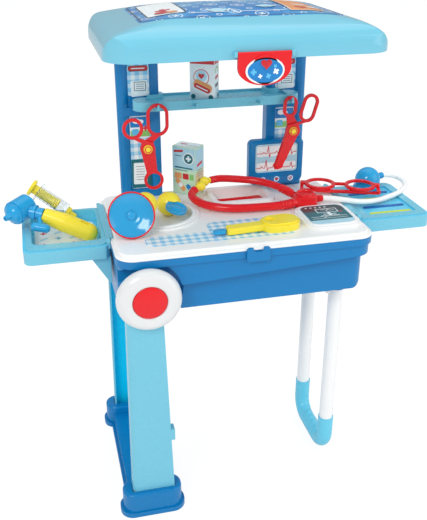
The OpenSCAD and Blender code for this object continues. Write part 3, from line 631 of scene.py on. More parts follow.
def moulded(context, node, materials, edge=1.0, choose=None, tilt=30, soft=None):
    """A merged copy of a CAD node with its edges rounded; edge is a share of the usual one.

    soft gives the wider rounding, in millimetres, of an edge between two points, or 0.
    """
    source = frame["nodes"][node]
    shape = bmesh.new()
    shape.from_mesh(source.data)
    bmesh.ops.remove_doubles(shape, verts=shape.verts, dist=2e-6)
    bmesh.ops.dissolve_limit(
        shape, angle_limit=math.radians(0.4), verts=shape.verts, edges=shape.edges,
        use_dissolve_boundaries=False,
    )
    for face in shape.faces:
        face.material_index = 0
        if choose:
            middle = (face.calc_center_median() - CASE_MIDDLE) / MM
            face.material_index = choose(middle, face.normal)
    if soft:
        soften_some(shape, soft)
    mesh = bpy.data.meshes.new(node + "_finished")
    shape.to_mesh(mesh)
    shape.free()
    piece = set_down(
        context, node + "_finished", mesh, source["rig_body"], materials, (node,), crease=0,
    )
    sizes = context.scene.case_sizes
    rounding = piece.modifiers.new("Rounded edges", "BEVEL")
    rounding.width = sizes.edge * edge
    rounding.segments = sizes.edge_steps
    rounding.limit_method = "ANGLE"
    rounding.angle_limit = math.radians(tilt)
    rounding.use_clamp_overlap = True
    rounding.harden_normals = False
    shading = piece.modifiers.new("Even shading", "WEIGHTED_NORMAL")
    shading.keep_sharp = True
    shading.weight = 60
    return piece


class Print:
    """Flat inked shapes on one face, each a hair higher than the one before."""

    def __init__(self, at, right=(1, 0, 0), up=(0, 0, 1)):
        right, up = Vector(right).normalized(), Vector(up).normalized()
        turn = Matrix((right, up, right.cross(up))).transposed().to_4x4()
        self.plane = Matrix.Translation(Vector(at)) @ turn
        self.sheet = bmesh.new()
        self.lift = 0.02

    def add(self, outline, finish, at=(0, 0), turn=0.0):
        shape = slab(outline, 0.03)
        place = Matrix.Translation((at[0], at[1], self.lift)) @ Matrix.Rotation(
            math.radians(turn), 4, "Z")
        join(self.sheet, shape, self.plane @ place, finish)
        self.lift += 0.008

    def line(self, points, width, finish):
        for (ax, ay), (bx, by) in zip(points, points[1:]):
            length = math.hypot(bx - ax, by - ay) + width * 0.8
            turn = math.degrees(math.atan2(by - ay, bx - ax))
            self.add(rounded_box(length, width, width * 0.45, steps=2), finish,
                     ((ax + bx) / 2, (ay + by) / 2), turn)
            self.lift -= 0.006

    def frame(self, width, height, thick, finish, at=(0, 0)):
        x, y = width / 2, height / 2
        ox, oy = at
        corners = [(-x, -y), (x, -y), (x, y), (-x, y)]
        for a, b in zip(corners, corners[1:] + corners[:1]):
            self.line([(a[0] + ox, a[1] + oy), (b[0] + ox, b[1] + oy)], thick, finish)


def printed(context, name, sheets, body, tones):
    """Joins the prints of one part into a piece."""
    shape = bmesh.new()
    for sheet in sheets:
        join_kept(shape, sheet.sheet)
    materials = [ink(context, tone) for tone in tones]
    return made(context, name, shape, body, materials, crease=30)


def join_kept(target, shape):
    """Adds a shape that already has its finish numbers and its place."""
    mesh = bpy.data.meshes.new("joined")
    shape.to_mesh(mesh)
    shape.free()
    target.from_mesh(mesh)
    bpy.data.meshes.remove(mesh)


# ---- stage and stethoscope -----------------------------------------------------------------


class DOCTOR_OT_stage(bpy.types.Operator):
    """Camera, pale floor and soft lights"""

    bl_idname = "doctor.stage"
    bl_label = "Set Stage"

    def execute(self, context):
        settings = context.scene.case_stage
        scene = context.scene
        camera = bpy.data.cameras.new("camera")
        camera.lens = settings.lens / MM
        camera.sensor_width = 36
        holder = bpy.data.objects.new("camera", camera)
        holder.location = (-0.2470, -0.9542, 0.8076)
        holder.rotation_euler = (math.radians(64.544), 0, math.radians(-13.686))
        scene.collection.objects.link(holder)
        scene.camera = holder
        for name, at, power, size in (
            ("key_light", (-1.5, -1.9, 2.2), settings.key, 1.0),
            ("fill_light", (2.1, -1.4, 1.3), settings.fill, 2.2),
            ("top_light", (0.2, 0.5, 2.6), settings.top, 2.4),
        ):
            lamp = bpy.data.lights.new(name, "AREA")
            lamp.energy = power
            lamp.size = size
            stand = bpy.data.objects.new(name, lamp)
            stand.location = at
            aim = Vector((0.0, 0.0, 0.42)) - Vector(at)
            stand.rotation_euler = aim.to_track_quat("-Z", "Y").to_euler()
            scene.collection.objects.link(stand)
        self.room(scene, settings)
        self.floor(scene, settings)
        scene.view_settings.view_transform = "Standard"
        return {"FINISHED"}

    def room(self, scene, settings):
        world = bpy.data.worlds.new("room")
        world.use_nodes = True
        nodes, links = world.node_tree.nodes, world.node_tree.links
        light = nodes["Background"]
        light.inputs["Color"].default_value = (0.94, 0.97, 1, 1)
        glossy = nodes.new("ShaderNodeMapRange")
        glossy.inputs["To Min"].default_value = settings.sky
        glossy.inputs["To Max"].default_value = settings.mirrored
        white = nodes.new("ShaderNodeBackground")
        white.inputs["Color"].default_value = (1, 1, 1, 1)
        path = nodes.new("ShaderNodeLightPath")
        links.new(path.outputs["Is Glossy Ray"], glossy.inputs["Value"])
        links.new(glossy.outputs[0], light.inputs["Strength"])
        either = nodes.new("ShaderNodeMath")
        either.operation = "MAXIMUM"
        links.new(path.outputs["Is Camera Ray"], either.inputs[0])
        links.new(path.outputs["Is Transmission Ray"], either.inputs[1])
        both = nodes.new("ShaderNodeMixShader")
        links.new(either.outputs[0], both.inputs[0])
        links.new(light.outputs[0], both.inputs[1])
        links.new(white.outputs[0], both.inputs[2])
        links.new(both.outputs[0], nodes["World Output"].inputs["Surface"])
        scene.world = world

    def floor(self, scene, settings):
        shape = bmesh.new()
        bmesh.ops.create_grid(shape, x_segments=2, y_segments=2, size=12)
        mesh = bpy.data.meshes.new("floor")
        shape.to_mesh(mesh)
        shape.free()
        recipe = Recipe("floor")
        uneven = recipe.spread(recipe.noise(0.8, 2), 0.3, 0.7)
        recipe.feed(
            recipe.shader.inputs["Base Color"],
            recipe.mix(uneven, linear(settings.floor, 0.98), linear(settings.floor, 1.01)),
        )
        recipe.set(Roughness=0.85)
        glow = recipe.node("ShaderNodeEmission")
        glow.inputs["Color"].default_value = (1, 1, 1, 1)
        glow.inputs["Strength"].default_value = 1.1
        path = recipe.node("ShaderNodeLightPath")
        either = recipe.math(
            "MAXIMUM", path.outputs["Is Camera Ray"], path.outputs["Is Transmission Ray"])
        share = recipe.math("MULTIPLY", either, 0.8)
        both = recipe.node("ShaderNodeMixShader")
        recipe.feed(both.inputs[0], share)
        recipe.feed(both.inputs[1], recipe.shader.outputs[0])
        recipe.feed(both.inputs[2], glow.outputs[0])
        recipe.feed(recipe.nodes["Material Output"].inputs["Surface"], both.outputs[0])
        mesh.materials.append(recipe.material)
        floor = bpy.data.objects.new("floor", mesh)
        scene.collection.objects.link(floor)


class DOCTOR_OT_stethoscope(bpy.types.Operator):
    """Stethoscope: bell, hose, yoke, ribbed ear arms and soft tips"""

    bl_idname = "doctor.stethoscope"
    bl_label = "Add Stethoscope"

    def execute(self, context):
        bell = self.bell(context)
        self.hose(context, bell)
        self.yoke(context)
        self.arms(context)
        return {"FINISHED"}

    def bell(self, context):
        dome = [(0, 0), (20.2, 0), (21, 0.8), (21, 3.3), (20.3, 4.1), (19.4, 4.5),
                (19.4, 11.4), (19.7, 12.0), (19.7, 12.7), (19.5, 13.0)]
        dome += arc((0, 13), 19.5, 2, 90, 14)
        shape = turned(dome, 64)
        start, end = Vector((14, 4, 14)), Vector(HOSE_ROUTE[-1]) - BELL_AT
        reach = (end - start).length
        stem = [(0, 0), (5, 0)]
        for k in range(3):
            low = reach * (0.5 + 0.13 * k)
            stem += [(5.0, low), (4.6, low + 0.4), (4.6, low + 0.8), (5.0, low + 1.1)]
        stem += [(4.9, reach - 0.4), (4.5, reach), (0, reach)]
        join(shape, turned(stem, 32), aimed(start, end - start))
        bmesh.ops.translate(shape, verts=shape.verts, vec=BELL_AT)
        return made(context, "stethoscope_bell", shape, "stethoscope",
                    [plastic(context, "tool_blue", 0.14)], ("bell",), 35)

    def hose(self, context, bell):
        """The hose lies on the right table's rim and loops round to the bell."""
        diameter = context.scene.case_sizes.hose
        line = bpy.data.curves.new("stethoscope_hose", "CURVE")
        line.dimensions = "3D"
        line.bevel_depth = diameter / 2
        line.bevel_resolution = 8
        line.resolution_u = 10
        line.use_fill_caps = True
        path = curve_points(HOSE_ROUTE, 2)
        spline = line.splines.new("BEZIER")
        spline.bezier_points.add(len(path) - 1)
        for point, (at, way) in zip(spline.bezier_points, path):
            point.co = TO_ROW @ at
            point.handle_left = TO_ROW @ (at - way / 6)
            point.handle_right = TO_ROW @ (at + way / 6)
        line.materials.append(plastic(context, "white", 0.3))
        hose = bpy.data.objects.new("stethoscope_hose", line)
        context.scene.collection.objects.link(hose)
        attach(hose, "stethoscope")
        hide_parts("hose")

    def yoke(self, context):
        shape = soften(slab(rounded_box(34, 27, 8), 16), 1.8, 4)
        cup = [(0, 12), (13, 12), (13, 18.6), (12.5, 19.4), (11.6, 19.5), (10.9, 19.1),
               (10.5, 17.9), (10.0, 17.5), (4.2, 17.5), (3.6, 17.9), (0, 18.1)]
        join(shape, turned(cup, 56))
        bmesh.ops.translate(shape, verts=shape.verts, vec=YOKE_AT)
        stub = [(0, -6), (5.6, -6), (5.6, 0.5)]
        for k in range(4):
            low = 1.2 + 2.3 * k
            wide = 5.5 - 0.12 * k
            stub += [(wide, low), (wide, low + 1.1),
                     (wide - 0.6, low + 1.5), (wide - 0.6, low + 2.0)]
        stub += [(4.7, 10.6), (4.4, 11), (0, 11)]
        join(shape, turned(stub, 40), aimed((130, 4, 420), (1, 0, 0)))
        made(context, "stethoscope_yoke", shape, "stethoscope",
             [plastic(context, "red", 0.2)], ("yoke",), 35)

    def arms(self, context):
        rib = context.scene.case_sizes.rib / MM

        def bar(radius):
            def at(travelled):
                ridged = 5 < travelled < 27
                wave = max(0.0, math.sin(2 * math.pi * travelled / 3.4)) if ridged else 0.0
                return radius + rib * wave
            return at

        shape = swept(ARM_FRONT, bar(5.9), 40)
        join(shape, swept(ARM_BACK, bar(5.4), 40))
        made(context, "stethoscope_arms", shape, "stethoscope",
             [plastic(context, "red", 0.2)], ("ear_arms",), 50)
        tips = bmesh.new()
        for at, route in (((-27, 66, 431), ARM_FRONT), ((-18, 80, 433), ARM_BACK)):
            start = Vector(route[-1])
            way = Vector(at) - start
            reach = way.length
            tip = [(0, 0.1), (4.2, 0.1), (4.2, reach - 6.6), (3.9, reach - 6.2)]
            tip += arc((0, reach), 7.4, -55, 76, 16)
            tip += [(1.5, reach + 6.9), (1.3, reach + 4.5), (0, reach + 4.5)]
            join(tips, turned(tip, 40), aimed(start, way))
        made(context, "stethoscope_tips", tips, "stethoscope",
             [plastic(context, "yellow", 0.22)], ("ear_tips",), 50)


# ---- tub, wheels, legs and handle ----------------------------------------------------------


class DOCTOR_OT_tub(bpy.types.Operator):
    """Tub with its latch clip, axle and handle collars"""

    bl_idname = "doctor.tub"
    bl_label = "Add Tub"

    def execute(self, context):
        blue = plastic(context, "blue", 0.3)
        moulded(context, "tub", [blue], 1.0)
        moulded(context, "latch_clip", [blue], 1.1)
        moulded(context, "axle", [bright_steel(context)], 0.6)
        moulded(context, "handle_collars", [plastic(context, "deep_blue")], 0.8)
        return {"FINISHED"}


class DOCTOR_OT_wheels(bpy.types.Operator):
    """Two domed travel wheels with their red hub buttons"""

    bl_idname = "doctor.wheels"
    bl_label = "Add Wheels"

    def execute(self, context):
        for name, side in (("front", -1), ("back", 1)):
            place = aimed(AXLE + Vector((0, side * WHEEL_Y, 0)), (0, side, 0))
            tread = [(4.05, 0), (12, 0), (12.6, 0.8), (36.8, 0.8), (37.4, 0), (38.6, 0.1),
                     (41.2, 0.9), (42.3, 2.6), (42.5, 4.4), (42.5, 6)]
            tread += arc((31.5, 6), 11, 4, 84, 18)
            tread += [(31, 17), (25.2, 17.0), (23.8, 16.7), (23.0, 16.1), (22.6, 15.2),
                      (22.5, 11), (4.05, 11), (4.05, 0)]
            wheel = turned(tread, 96)
            made(context, "wheel_%s_finished" % name, wheel, "%s_wheel" % name,
                 [plastic(context, "wheel_white", 0.2, coat=0.5)], ("wheel_" + name,), 50,
                 place=place)
            top = [(22.2, 11), (22.2, 15.5), (21.9, 16.1), (21.2, 16.6)]
            top += [(r, -71 + math.sqrt(8100 - r * r)) for r in (19, 16, 13, 10, 7, 4, 2, 0)]
            hub = turned([(0, 11)] + top, 72)
            made(context, "hub_%s_finished" % name, hub, "%s_wheel" % name,
                 [plastic(context, "red", 0.3)], ("hub_" + name,), 40, place=place)
        return {"FINISHED"}


class DOCTOR_OT_legs(bpy.types.Operator):
    """Folding channel legs and the foot that joins them"""

    bl_idname = "doctor.legs"
    bl_label = "Add Legs"

    def execute(self, context):
        skins_with_painted_shade = [plastic(context, "light_blue"), plastic(context, "cyan")]
        for node, side in (("leg_front", -1), ("leg_back", 1)):

            # Faces inside the channel get the second, deeper colour as painted shade.
            def in_shaded_channel(middle, normal, side=side):
                along = AXLE.x - 3
                if side * normal.y < -0.9 and side * middle.y > 112:
                    return 1
                if abs(normal.y) > 0.5 or not 8 < middle.z < 334:
                    return 0
                return 1 if normal.x * (middle.x - along) < 0 else 0

            def corner(a, b, side=side):
                outer = side * a.y > 117.5 and side * b.y > 117.5
                return 7 if outer and a.x < -150 and b.x < -150 and abs(a.z - b.z) > 20 else 0

            moulded(context, node, skins_with_painted_shade, 1.0, in_shaded_channel, soft=corner)

        def top(a, b):
            return 4 if min(a.z, b.z) > 38.5 and not self.in_socket(a) else 0

        moulded(context, "foot", [plastic(context, "blue")], 1.2, soft=top)
        return {"FINISHED"}

    def in_socket(self, at):
        return abs(at.x + 141) < 31.8 and 99 < abs(at.y) < 119


class DOCTOR_OT_handle(bpy.types.Operator):
    """Trolley handle: two tubes, moulded grip and snap buttons"""

    bl_idname = "doctor.handle"
    bl_label = "Add Handle"

    def execute(self, context):
        white = plastic(context, "white", 0.2, coat=0.5)
        for side in ("front", "back"):
            moulded(context, "tube_" + side, [white], 0.5)
            moulded(context, "snap_button_" + side, [white], 0.3)
        moulded(context, "grip", [plastic(context, "grip_blue")], 0.9)
        return {"FINISHED"}


# ---- deck and side tables ------------------------------------------------------------------


class DOCTOR_OT_deck(bpy.types.Operator):
    """White deck with its soft steps, basin, sink and screen pod"""

    bl_idname = "doctor.deck"
    bl_label = "Add Deck"

    def execute(self, context):
        def soft(a, b):
            for height, width in ((407.5, 2.2), (411.5, 1.9)):
                level = abs(a.z - height) < 0.1 and abs(b.z - height) < 0.1
                rim = self.rim(a, height) and self.rim(b, height)
                if level and rim:
                    return width
            return 0

        white = plastic(context, "white", 0.3, coat=0.3)
        moulded(context, "deck", [white], 0.75, soft=soft)
        return {"FINISHED"}

    def rim(self, at, height):
        """Whether a point lies on the outer edge of a step."""
        half = (175, 115) if height < 410 else (170, 110)
        if abs(at.x) > half[0] - 0.2 or abs(at.y) > half[1] - 0.2:
            return True
        corner = 24 if height < 410 else 19
        dx, dy = abs(at.x) - half[0] + corner, abs(at.y) - half[1] + corner
        return dx > 0 and dy > 0 and abs(math.hypot(dx, dy) - corner) < 0.3


class DOCTOR_OT_deck_prints(bpy.types.Operator):
    """Gingham sticker of the deck and the picture on the screen pod"""

    bl_idname = "doctor.deck_prints"
    bl_label = "Add Deck Prints"

    def execute(self, context):
        checks = gingham(context, "print_gingham_flat", False)
        moulded(
            context, "deck_stickers", [checks, ink(context, "sky")], 0.12,
            lambda middle, normal: 1 if middle.z > 415 else 0,
        )
        tones = ["grey", "teal", "paper", "sky", "ink_red"]
        screen = Print((127, -50, 417.8), (1, 0, 0), (0, 1, 0))
        screen.add(rounded_box(62, 22, 1, 1, 11, 11), 0, (0, 20.5))
        screen.add(rounded_box(62, 30, 1), 1, (0, -5.5))
        screen.add(rounded_box(62, 9, 4, 4, 1, 1), 3, (0, -25.2))
        screen.frame(30, 13, 1.3, 2, (4, 12))
        screen.line([(-4, 15), (2, 15), (4, 11), (7, 17), (9, 12), (15, 12)], 1, 2)
        screen.line([(4, 5.5), (4, -4)], 4.5, 2)
        screen.line([(-5, -1), (13, -1)], 2, 2)
        screen.line([(-9, -6), (17, -6)], 1.4, 2)
        screen.line([(-26, -9), (-12, -9), (-10, -6), (-7, -13), (-4, -9), (26, -9)], 1, 2)
        screen.line([(-26, -15), (26, -15)], 0.9, 2)
        for k in range(5):
            screen.add(round_outline(1.6), 2, (-22 + 7 * k, 25))
        screen.add(heart_outline(5), 4, (22, 4))
        picture = Print((52, -58, 411.8), (1, 0, 0), (0, 1, 0))
        picture.add(rounded_box(34, 17, 3), 1, (-17, -12), 2)
        picture.add(rounded_box(30, 13, 2), 3, (-17, -12), 2)
        for k in range(4):
            at = (-28 + 7.4 * k, -12 + k % 2)
            picture.add(cross_outline(5, 1.8), 4 if k % 2 else 1, at, 12 * k)
        printed(context, "deck_pictures", [screen, picture], "deck", tones)
        return {"FINISHED"}


class DOCTOR_OT_side_tables(bpy.types.Operator):
    """Side tables with their brackets, coloured bars and floor sticker"""

    bl_idname = "doctor.side_tables"
    bl_label = "Add Side Tables"

    def execute(self, context):
        pale = plastic(context, "light_blue")

        # Walls and floor of each sunken table top get the second, deeper colour as painted shade.
        def in_shaded_hollow(middle, normal):
            across, deep = abs(abs(middle.x) - 230.4), abs(middle.y - 24)
            return 1 if across < 46.3 and deep < 56.3 and 385 < middle.z < 403.4 else 0

        skins_with_painted_shade = [pale, plastic(context, "recess")]
        for side in ("left", "right"):
            moulded(context, side + "_table", skins_with_painted_shade, 1.0, in_shaded_hollow)
            moulded(context, side + "_bracket", [pale], 0.8)
        moulded(context, "blue_inserts", [plastic(context, "deep_blue")], 1.0)
        moulded(context, "yellow_inserts", [plastic(context, "lime")], 1.0)
        tones = ["paper", "sky", "ink_red", "check_blue"]
        sheet = Print((-230.4, 24, 387), (1, 0, 0), (0, 1, 0))
        sheet.add(rounded_box(84, 104, 8), 0)
        for row in range(5):
            for column in range(4):
                at = (-30 + 20 * column, -40 + 20 * row)
                if (row + column) % 2:
                    sheet.add(cross_outline(9, 3), 2 if row % 2 else 3, at)
                else:
                    sheet.add(rounded_box(13, 5, 2.4), 1, at, 35)
        printed(context, "left_table_print", [sheet], "deck", tones)
        return {"FINISHED"}


# ---- posts, shelf and monitor --------------------------------------------------------------


class DOCTOR_OT_posts(bpy.types.Operator):
    """Two posts and the shelf between them"""

    bl_idname = "doctor.posts"
    bl_label = "Add Posts"

    def execute(self, context):
        blue = plastic(context, "blue", 0.24)
        moulded(context, "post_left", [blue], 1.1)
        moulded(context, "post_right", [blue], 1.1)
        moulded(context, "shelf", [plastic(context, "light_blue")], 0.7)
        return {"FINISHED"}


class DOCTOR_OT_post_prints(bpy.types.Operator):
    """Gingham panels of the posts with their cards"""

    bl_idname = "doctor.post_prints"
    bl_label = "Add Post Prints"

    def execute(self, context):
        checks = gingham(context, "print_gingham_upright", True)

        def kind(middle, normal):
            if middle.y > 90:
                return 0
            return 2 if middle.z < 433 else 1

        sheets = [checks, ink(context, "sky"), ink(context, "panel_blue")]
        moulded(context, "stand_stickers", sheets, 0.12, kind)
        tones = ["paper", "teal", "grey", "sky", "ink_red", "green", "picture_blue", "check_blue"]
        sheets = []
        for side in (-1, 1):
            upper = Print((side * 108.9, 97, 602))
            upper.add(rounded_box(28, 8, 3), 2, (0, -1))
            upper.add(rounded_box(26.4, 6.4, 2.4), 4, (0, -1))
            upper.line([(-9, -1), (9, -1)], 1.4, 0)
            upper.add(rounded_box(24, 22, 1.5), 0, (1, -29), 3)
            upper.frame(16, 12, 0.9, 2, (2, -26))
            for k in range(3):
                upper.line([(-3.5, -23 - 3 * k), (7.5, -23 - 3 * k)], 0.7, 2)
            lower = Print((side * 109.3, 97, 479.3))
            lower.add(rounded_box(29.4, 32, 2), 0, (0, 38))
            lower.add(rounded_box(28, 15, 1), 6, (0, 45.5))
            lower.add(rounded_box(28, 9, 1), 5, (0, 28.5))
            lower.add(round_outline(5.5, 0.7), 0, (-5, 47))
            lower.add(round_outline(4.5, 0.7), 0, (1, 46))
            lower.add(cross_outline(8, 2.8), 4, (8, 36))
            lower.add(rounded_box(10, 9, 2), 7, (-7, 31))
            lower.add(rounded_box(29.6, 44, 2), 1, (0, -32))
            lower.add(rounded_box(20, 33, 1.5), 0, (-2, -32), -2)
            for k in range(6):
                lower.line([(-8, -21 - 4 * k), (4, -21.5 - 4 * k)], 0.7, 2)
            sheets += [upper, lower]
        printed(context, "post_cards", sheets, "deck", tones)
        return {"FINISHED"}


class DOCTOR_OT_monitor(bpy.types.Operator):
    """Play monitor with its heart trace and three buttons"""

    bl_idname = "doctor.monitor"
    bl_label = "Add Monitor"

    def execute(self, context):
        def soft(a, b):
            front = abs(a.y - 79.5) < 0.1 and abs(b.y - 79.5) < 0.1
            outer = all(abs(p.x - 94) > 34.8 or p.z < 425 or p.z > 484.8 for p in (a, b))
            return 4.5 if front and outer else 0

        moulded(context, "monitor", [plastic(context, "blue", 0.2)], 0.8, soft=soft)
        tones = ["sky", "paper", "ink_red", "check_blue", "grey"]
        screen = Print((94, 80.6, 461))
        screen.add(rounded_box(66, 44, 5), 0)
        screen.add(rounded_box(62, 16, 3), 1, (0, 11))
        screen.add(rounded_box(62, 13, 3), 1, (0, -13))
        high = [(-31, 8), (-22, 8), (-20, 10), (-18, 8), (-15, 8), (-13, 19), (-11, 2), (-9, 8),
                (-2, 8), (0, 11), (2, 8), (8, 8), (10, 17), (12, -1), (14, 8), (20, 8),
                (22, 20), (24, 4), (26, 8), (31, 8)]
        low = [(-31, -15), (-25, -15), (-23, -12), (-21, -15), (-18, -15), (-16, -2), (-14, -19),
               (-12, -15), (-6, -15), (-4, -9), (-2, -18), (0, -15), (6, -15), (8, -12),
               (10, -15), (22, -15), (24, -8), (26, -17), (28, -15), (31, -15)]
        screen.line(high, 1.1, 2)
        screen.line(low, 1.1, 2)
        screen.add(heart_outline(17), 2, (9, -2))
        screen.line([(4, 1), (6, 3.5)], 1.2, 1)
        for k in range(3):
            at = (-21 + 22 * k, -33)
            screen.add(round_outline(4.3), 1, at)
            screen.add(round_outline(3.3), 3, at)
        screen.add(cross_outline(5.4, 1.9), 2, (-21, -33))
        screen.add(heart_outline(5.6), 2, (1, -33))
        screen.add(round_outline(2.2), 2, (23, -33))
        screen.line([(21, -31), (25, -35)], 0.8, 1)
        for v in screen.sheet.verts:
            if v.co.z < 435:
                v.co.y -= 1.55
        printed(context, "monitor_print", [screen], "deck", tones)
        return {"FINISHED"}


# ---- canopy and clasp ----------------------------------------------------------------------


def crowned(at, half, shoulder, top, crown):
    """Height of a crowned outline with a rounded shoulder, at a distance from its middle."""
    at = min(abs(at), half)
    centre = half - shoulder
    if at <= centre * crown / (crown - shoulder):
        return top - crown + math.sqrt(crown * crown - at * at)
    low = top - crown + math.sqrt((crown - shoulder) ** 2 - centre * centre)
    return low + math.sqrt(max(shoulder * shoulder - (at - centre) ** 2, 0))


def canopy_height(x, y, shrink=0.0):
    """Height of the canopy's skin; its right end falls in a longer curve."""
    half_x, half_y = CANOPY_HALF[0] - shrink, CANOPY_HALF[1] - shrink
    top = 50 - shrink
    if x < 0:
        long = crowned(x, half_x + 0.05, 26 - shrink, top, 650 - shrink)
    else:
        long = crowned(x, half_x + 4, 60 - shrink, top, 650 - shrink)
    deep = crowned(y, half_y + 0.05, 20 - shrink, top, 300 - shrink)
    blend = max(6 - abs(long - deep), 0) / 6
    return CANOPY_Z + min(long, deep) - blend * blend * blend


def filled_in(outline, step):
    """The outline with more points along its long sides."""
    points = []
    for a, b in zip(outline, outline[1:] + outline[:1]):
        count = max(1, round(math.dist(a, b) / step))
        points += [(a[0] + (b[0] - a[0]) * k / count, a[1] + (b[1] - a[1]) * k / count)
                   for k in range(count)]
    return points


def crowned_skin(outline, height, base, rings=34):
    """Closed over its outline: up from the base, then inwards along the height."""
    skin = bmesh.new()
    corners = [skin.verts.new((x, y, base(x, y))) for x, y in outline]
    edges = [skin.edges.new(pair) for pair in zip(corners, corners[1:] + corners[:1])]
    reach = 1.0
    for k in range(rings + 1):
        share = math.cos(math.pi / 2 * k / rings)
        grown = bmesh.ops.extrude_edge_only(skin, edges=edges)["geom"]
        moved = [v for v in grown if isinstance(v, bmesh.types.BMVert)]
        edges = [e for e in grown if isinstance(e, bmesh.types.BMEdge)]
        for v in moved:
            if k == rings:
                v.co.x = v.co.y = 0
            else:
                v.co.x *= share / reach
                v.co.y *= share / reach
            v.co.z = height(v.co.x, v.co.y)
        reach = share
    bmesh.ops.remove_doubles(skin, verts=skin.verts, dist=0.0005)
    return skin


class DOCTOR_OT_canopy(bpy.types.Operator):
    """Crowned canopy: the case's lid on top of the posts"""

    bl_idname = "doctor.canopy"
    bl_label = "Add Canopy"

    def execute(self, context):
        wall = context.scene.case_sizes.wall / MM
        outline = filled_in(rounded_box(350, 230, 34, steps=14), 4)
        shape = crowned_skin(outline, canopy_height, lambda x, y: CANOPY_Z)
        inner = filled_in(rounded_box(350 - 2 * wall, 230 - 2 * wall, 34 - wall, steps=14), 4)
        lining = crowned_skin(inner, lambda x, y: canopy_height(x, y, wall), lambda x, y: CANOPY_Z)
        join(shape, lining)
        rim = [e for e in shape.edges if e.is_boundary]
        bmesh.ops.bridge_loops(shape, edges=rim)
        bmesh.ops.recalc_face_normals(shape, faces=shape.faces)
        brink = [e for e in shape.edges
                 if max(v.co.z for v in e.verts) < CANOPY_Z + 0.01 and e.calc_face_angle(0) > 1]
        bmesh.ops.bevel(
            shape, geom=brink, offset=0.9, offset_type="OFFSET", affect="EDGES", segments=3,
            profile=0.5, material=-1, clamp_overlap=True,
        )
        for side in (-1, 1):
            block = soften(slab(rounded_box(51, 12, 3), 15.5), 0.6, 2)
            join(shape, block, Matrix.Translation((side * 110.5, 101.5, 659)))
            lug = soften(slab(rounded_box(4, 8, 1.2), 6), 0.5, 2)
            join(shape, lug, Matrix.Translation((8 + side * 34.5, -117.5, 650.5)))
        pin = turned([(0, 0), (1.2, 0), (1.2, 68), (0, 68)], 20)
        join(shape, pin, aimed((-26, -118.5, 653.5), (1, 0, 0)))
        made(context, "canopy_finished", shape, "canopy",
             [plastic(context, "light_blue", 0.13, coat=0.4)], ("canopy",), 35)
        return {"FINISHED"}


class DOCTOR_OT_canopy_print(bpy.types.Operator):
    """Picture sticker on the canopy's crown"""

    bl_idname = "doctor.canopy_print"
    bl_label = "Add Canopy Print"

    def execute(self, context):
        outline = filled_in(rounded_box(256, 142, 10, steps=6), 4)
        shape = crowned_skin(
            outline, lambda x, y: canopy_height(x, y) + 0.3,
            lambda x, y: canopy_height(x, y) - 0.2, 22)
        bmesh.ops.recalc_face_normals(shape, faces=shape.faces)
        made(context, "canopy_sticker_finished", shape, "canopy",
             [icon_field(context)], ("canopy_sticker",), 40)
        tones = ["grey", "paper", "orange", "ink_red", "sky"]
        sheet = Print((0, 0, 0), (1, 0, 0), (0, 1, 0))
        border = filled_in(rounded_box(250, 136, 8, steps=4), 6)
        sheet.line(border + border[:1], 1.5, 0)
        self.panel(sheet, (-92, 2), 44, 100, 1, 0)
        self.panel(sheet, (86, -10), 52, 92, 2, 1)
        sheet.add(cross_outline(18, 6), 3, (-92, -18))
        sheet.add(round_outline(9, 0.8), 3, (-96, -34))
        sheet.add(round_outline(7, 0.8), 2, (-84, -38))
        sheet.add(heart_outline(15), 3, (78, -38))
        sheet.add(round_outline(8, 0.85), 1, (96, -30))
        sheet.add(rounded_box(22, 8, 3.6), 1, (84, -10), 25)
        self.cloud(sheet, (-30, -48))
        self.cloud(sheet, (34, -34))
        sheet.line([(-64, -56), (-20, -56), (-15, -44), (-8, -62), (-3, -56), (52, -56)], 1.4, 1)
        for v in sheet.sheet.verts:
            v.co.z += canopy_height(v.co.x, v.co.y) + 0.3
        printed(context, "canopy_signs", [sheet], "canopy", tones)
        return {"FINISHED"}

    def panel(self, sheet, at, width, height, fill, line):
        """A filled panel of narrow strips, so that it follows the crown, with its outline."""
        strips = 26
        for k in range(strips):
            y = at[1] - height / 2 + height * (k + 0.5) / strips
            sheet.line([(at[0] - width / 2 + 14 * j, y) for j in range(int(width / 14) + 1)],
                       height / strips * 1.3, fill)
        edge = filled_in(rounded_box(width + 2, height + 2, 3, steps=2), 6)
        edge = [(x + at[0], y + at[1]) for x, y in edge]
        sheet.line(edge + edge[:1], 1.4, line)

    def cloud(self, sheet, at):
        for dx, dy, r in ((-8, 0, 5), (0, 2, 7), (8, 0, 5), (3, -3, 5), (-4, -3, 5)):
            sheet.add(round_outline(r, 0.8), 4, (at[0] + dx, at[1] + dy))


class DOCTOR_OT_clasp(bpy.types.Operator):
    """Red clasp that hangs at the canopy's front, with its oval badge"""

    bl_idname = "doctor.clasp"
    bl_label = "Add Clasp"

    def execute(self, context):
        moulded(context, "clasp", [plastic(context, "red", 0.24)], 0.9)
        shape = soften(slab(round_outline(23.5, 0.66, 56), 1.5), 0.5, 2)
        badge = Print(CLASP_BADGE - Vector((0, 1.55, 0)))
        heart = soften(slab(heart_outline(13), 1.2), 0.5, 2)
        join(shape, heart, Matrix.Translation((1, 8, 1.6)), 1)
        right, up = Vector((1, 0, 0)), Vector((0, 0, 1))
        turn = Matrix((right, up, right.cross(up))).transposed().to_4x4()
        bmesh.ops.transform(
            shape, matrix=Matrix.Translation(CLASP_BADGE) @ turn, verts=shape.verts)
        made(context, "clasp_badge", shape, "clasp",
             [ink(context, "paper"), ink(context, "ink_red", 0.25)], (), 40)
        badge.add(round_outline(21.3, 0.63, 56), 0)
        signs = ((-14, -1, 7), (-6, -6, 5), (4, -6, 6), (13, -1, 7), (12, 5, 4))
        for k, (x, y, size) in enumerate(signs):
            badge.add(cross_outline(size, size * 0.36), 1 if k % 2 else 2, (x, y), 10 * k)
        tones = ["picture_blue", "paper", "check_blue"]
        printed(context, "clasp_badge_print", [badge], "clasp", tones)
        return {"FINISHED"}


# ---- hanging scissors and cartons ----------------------------------------------------------


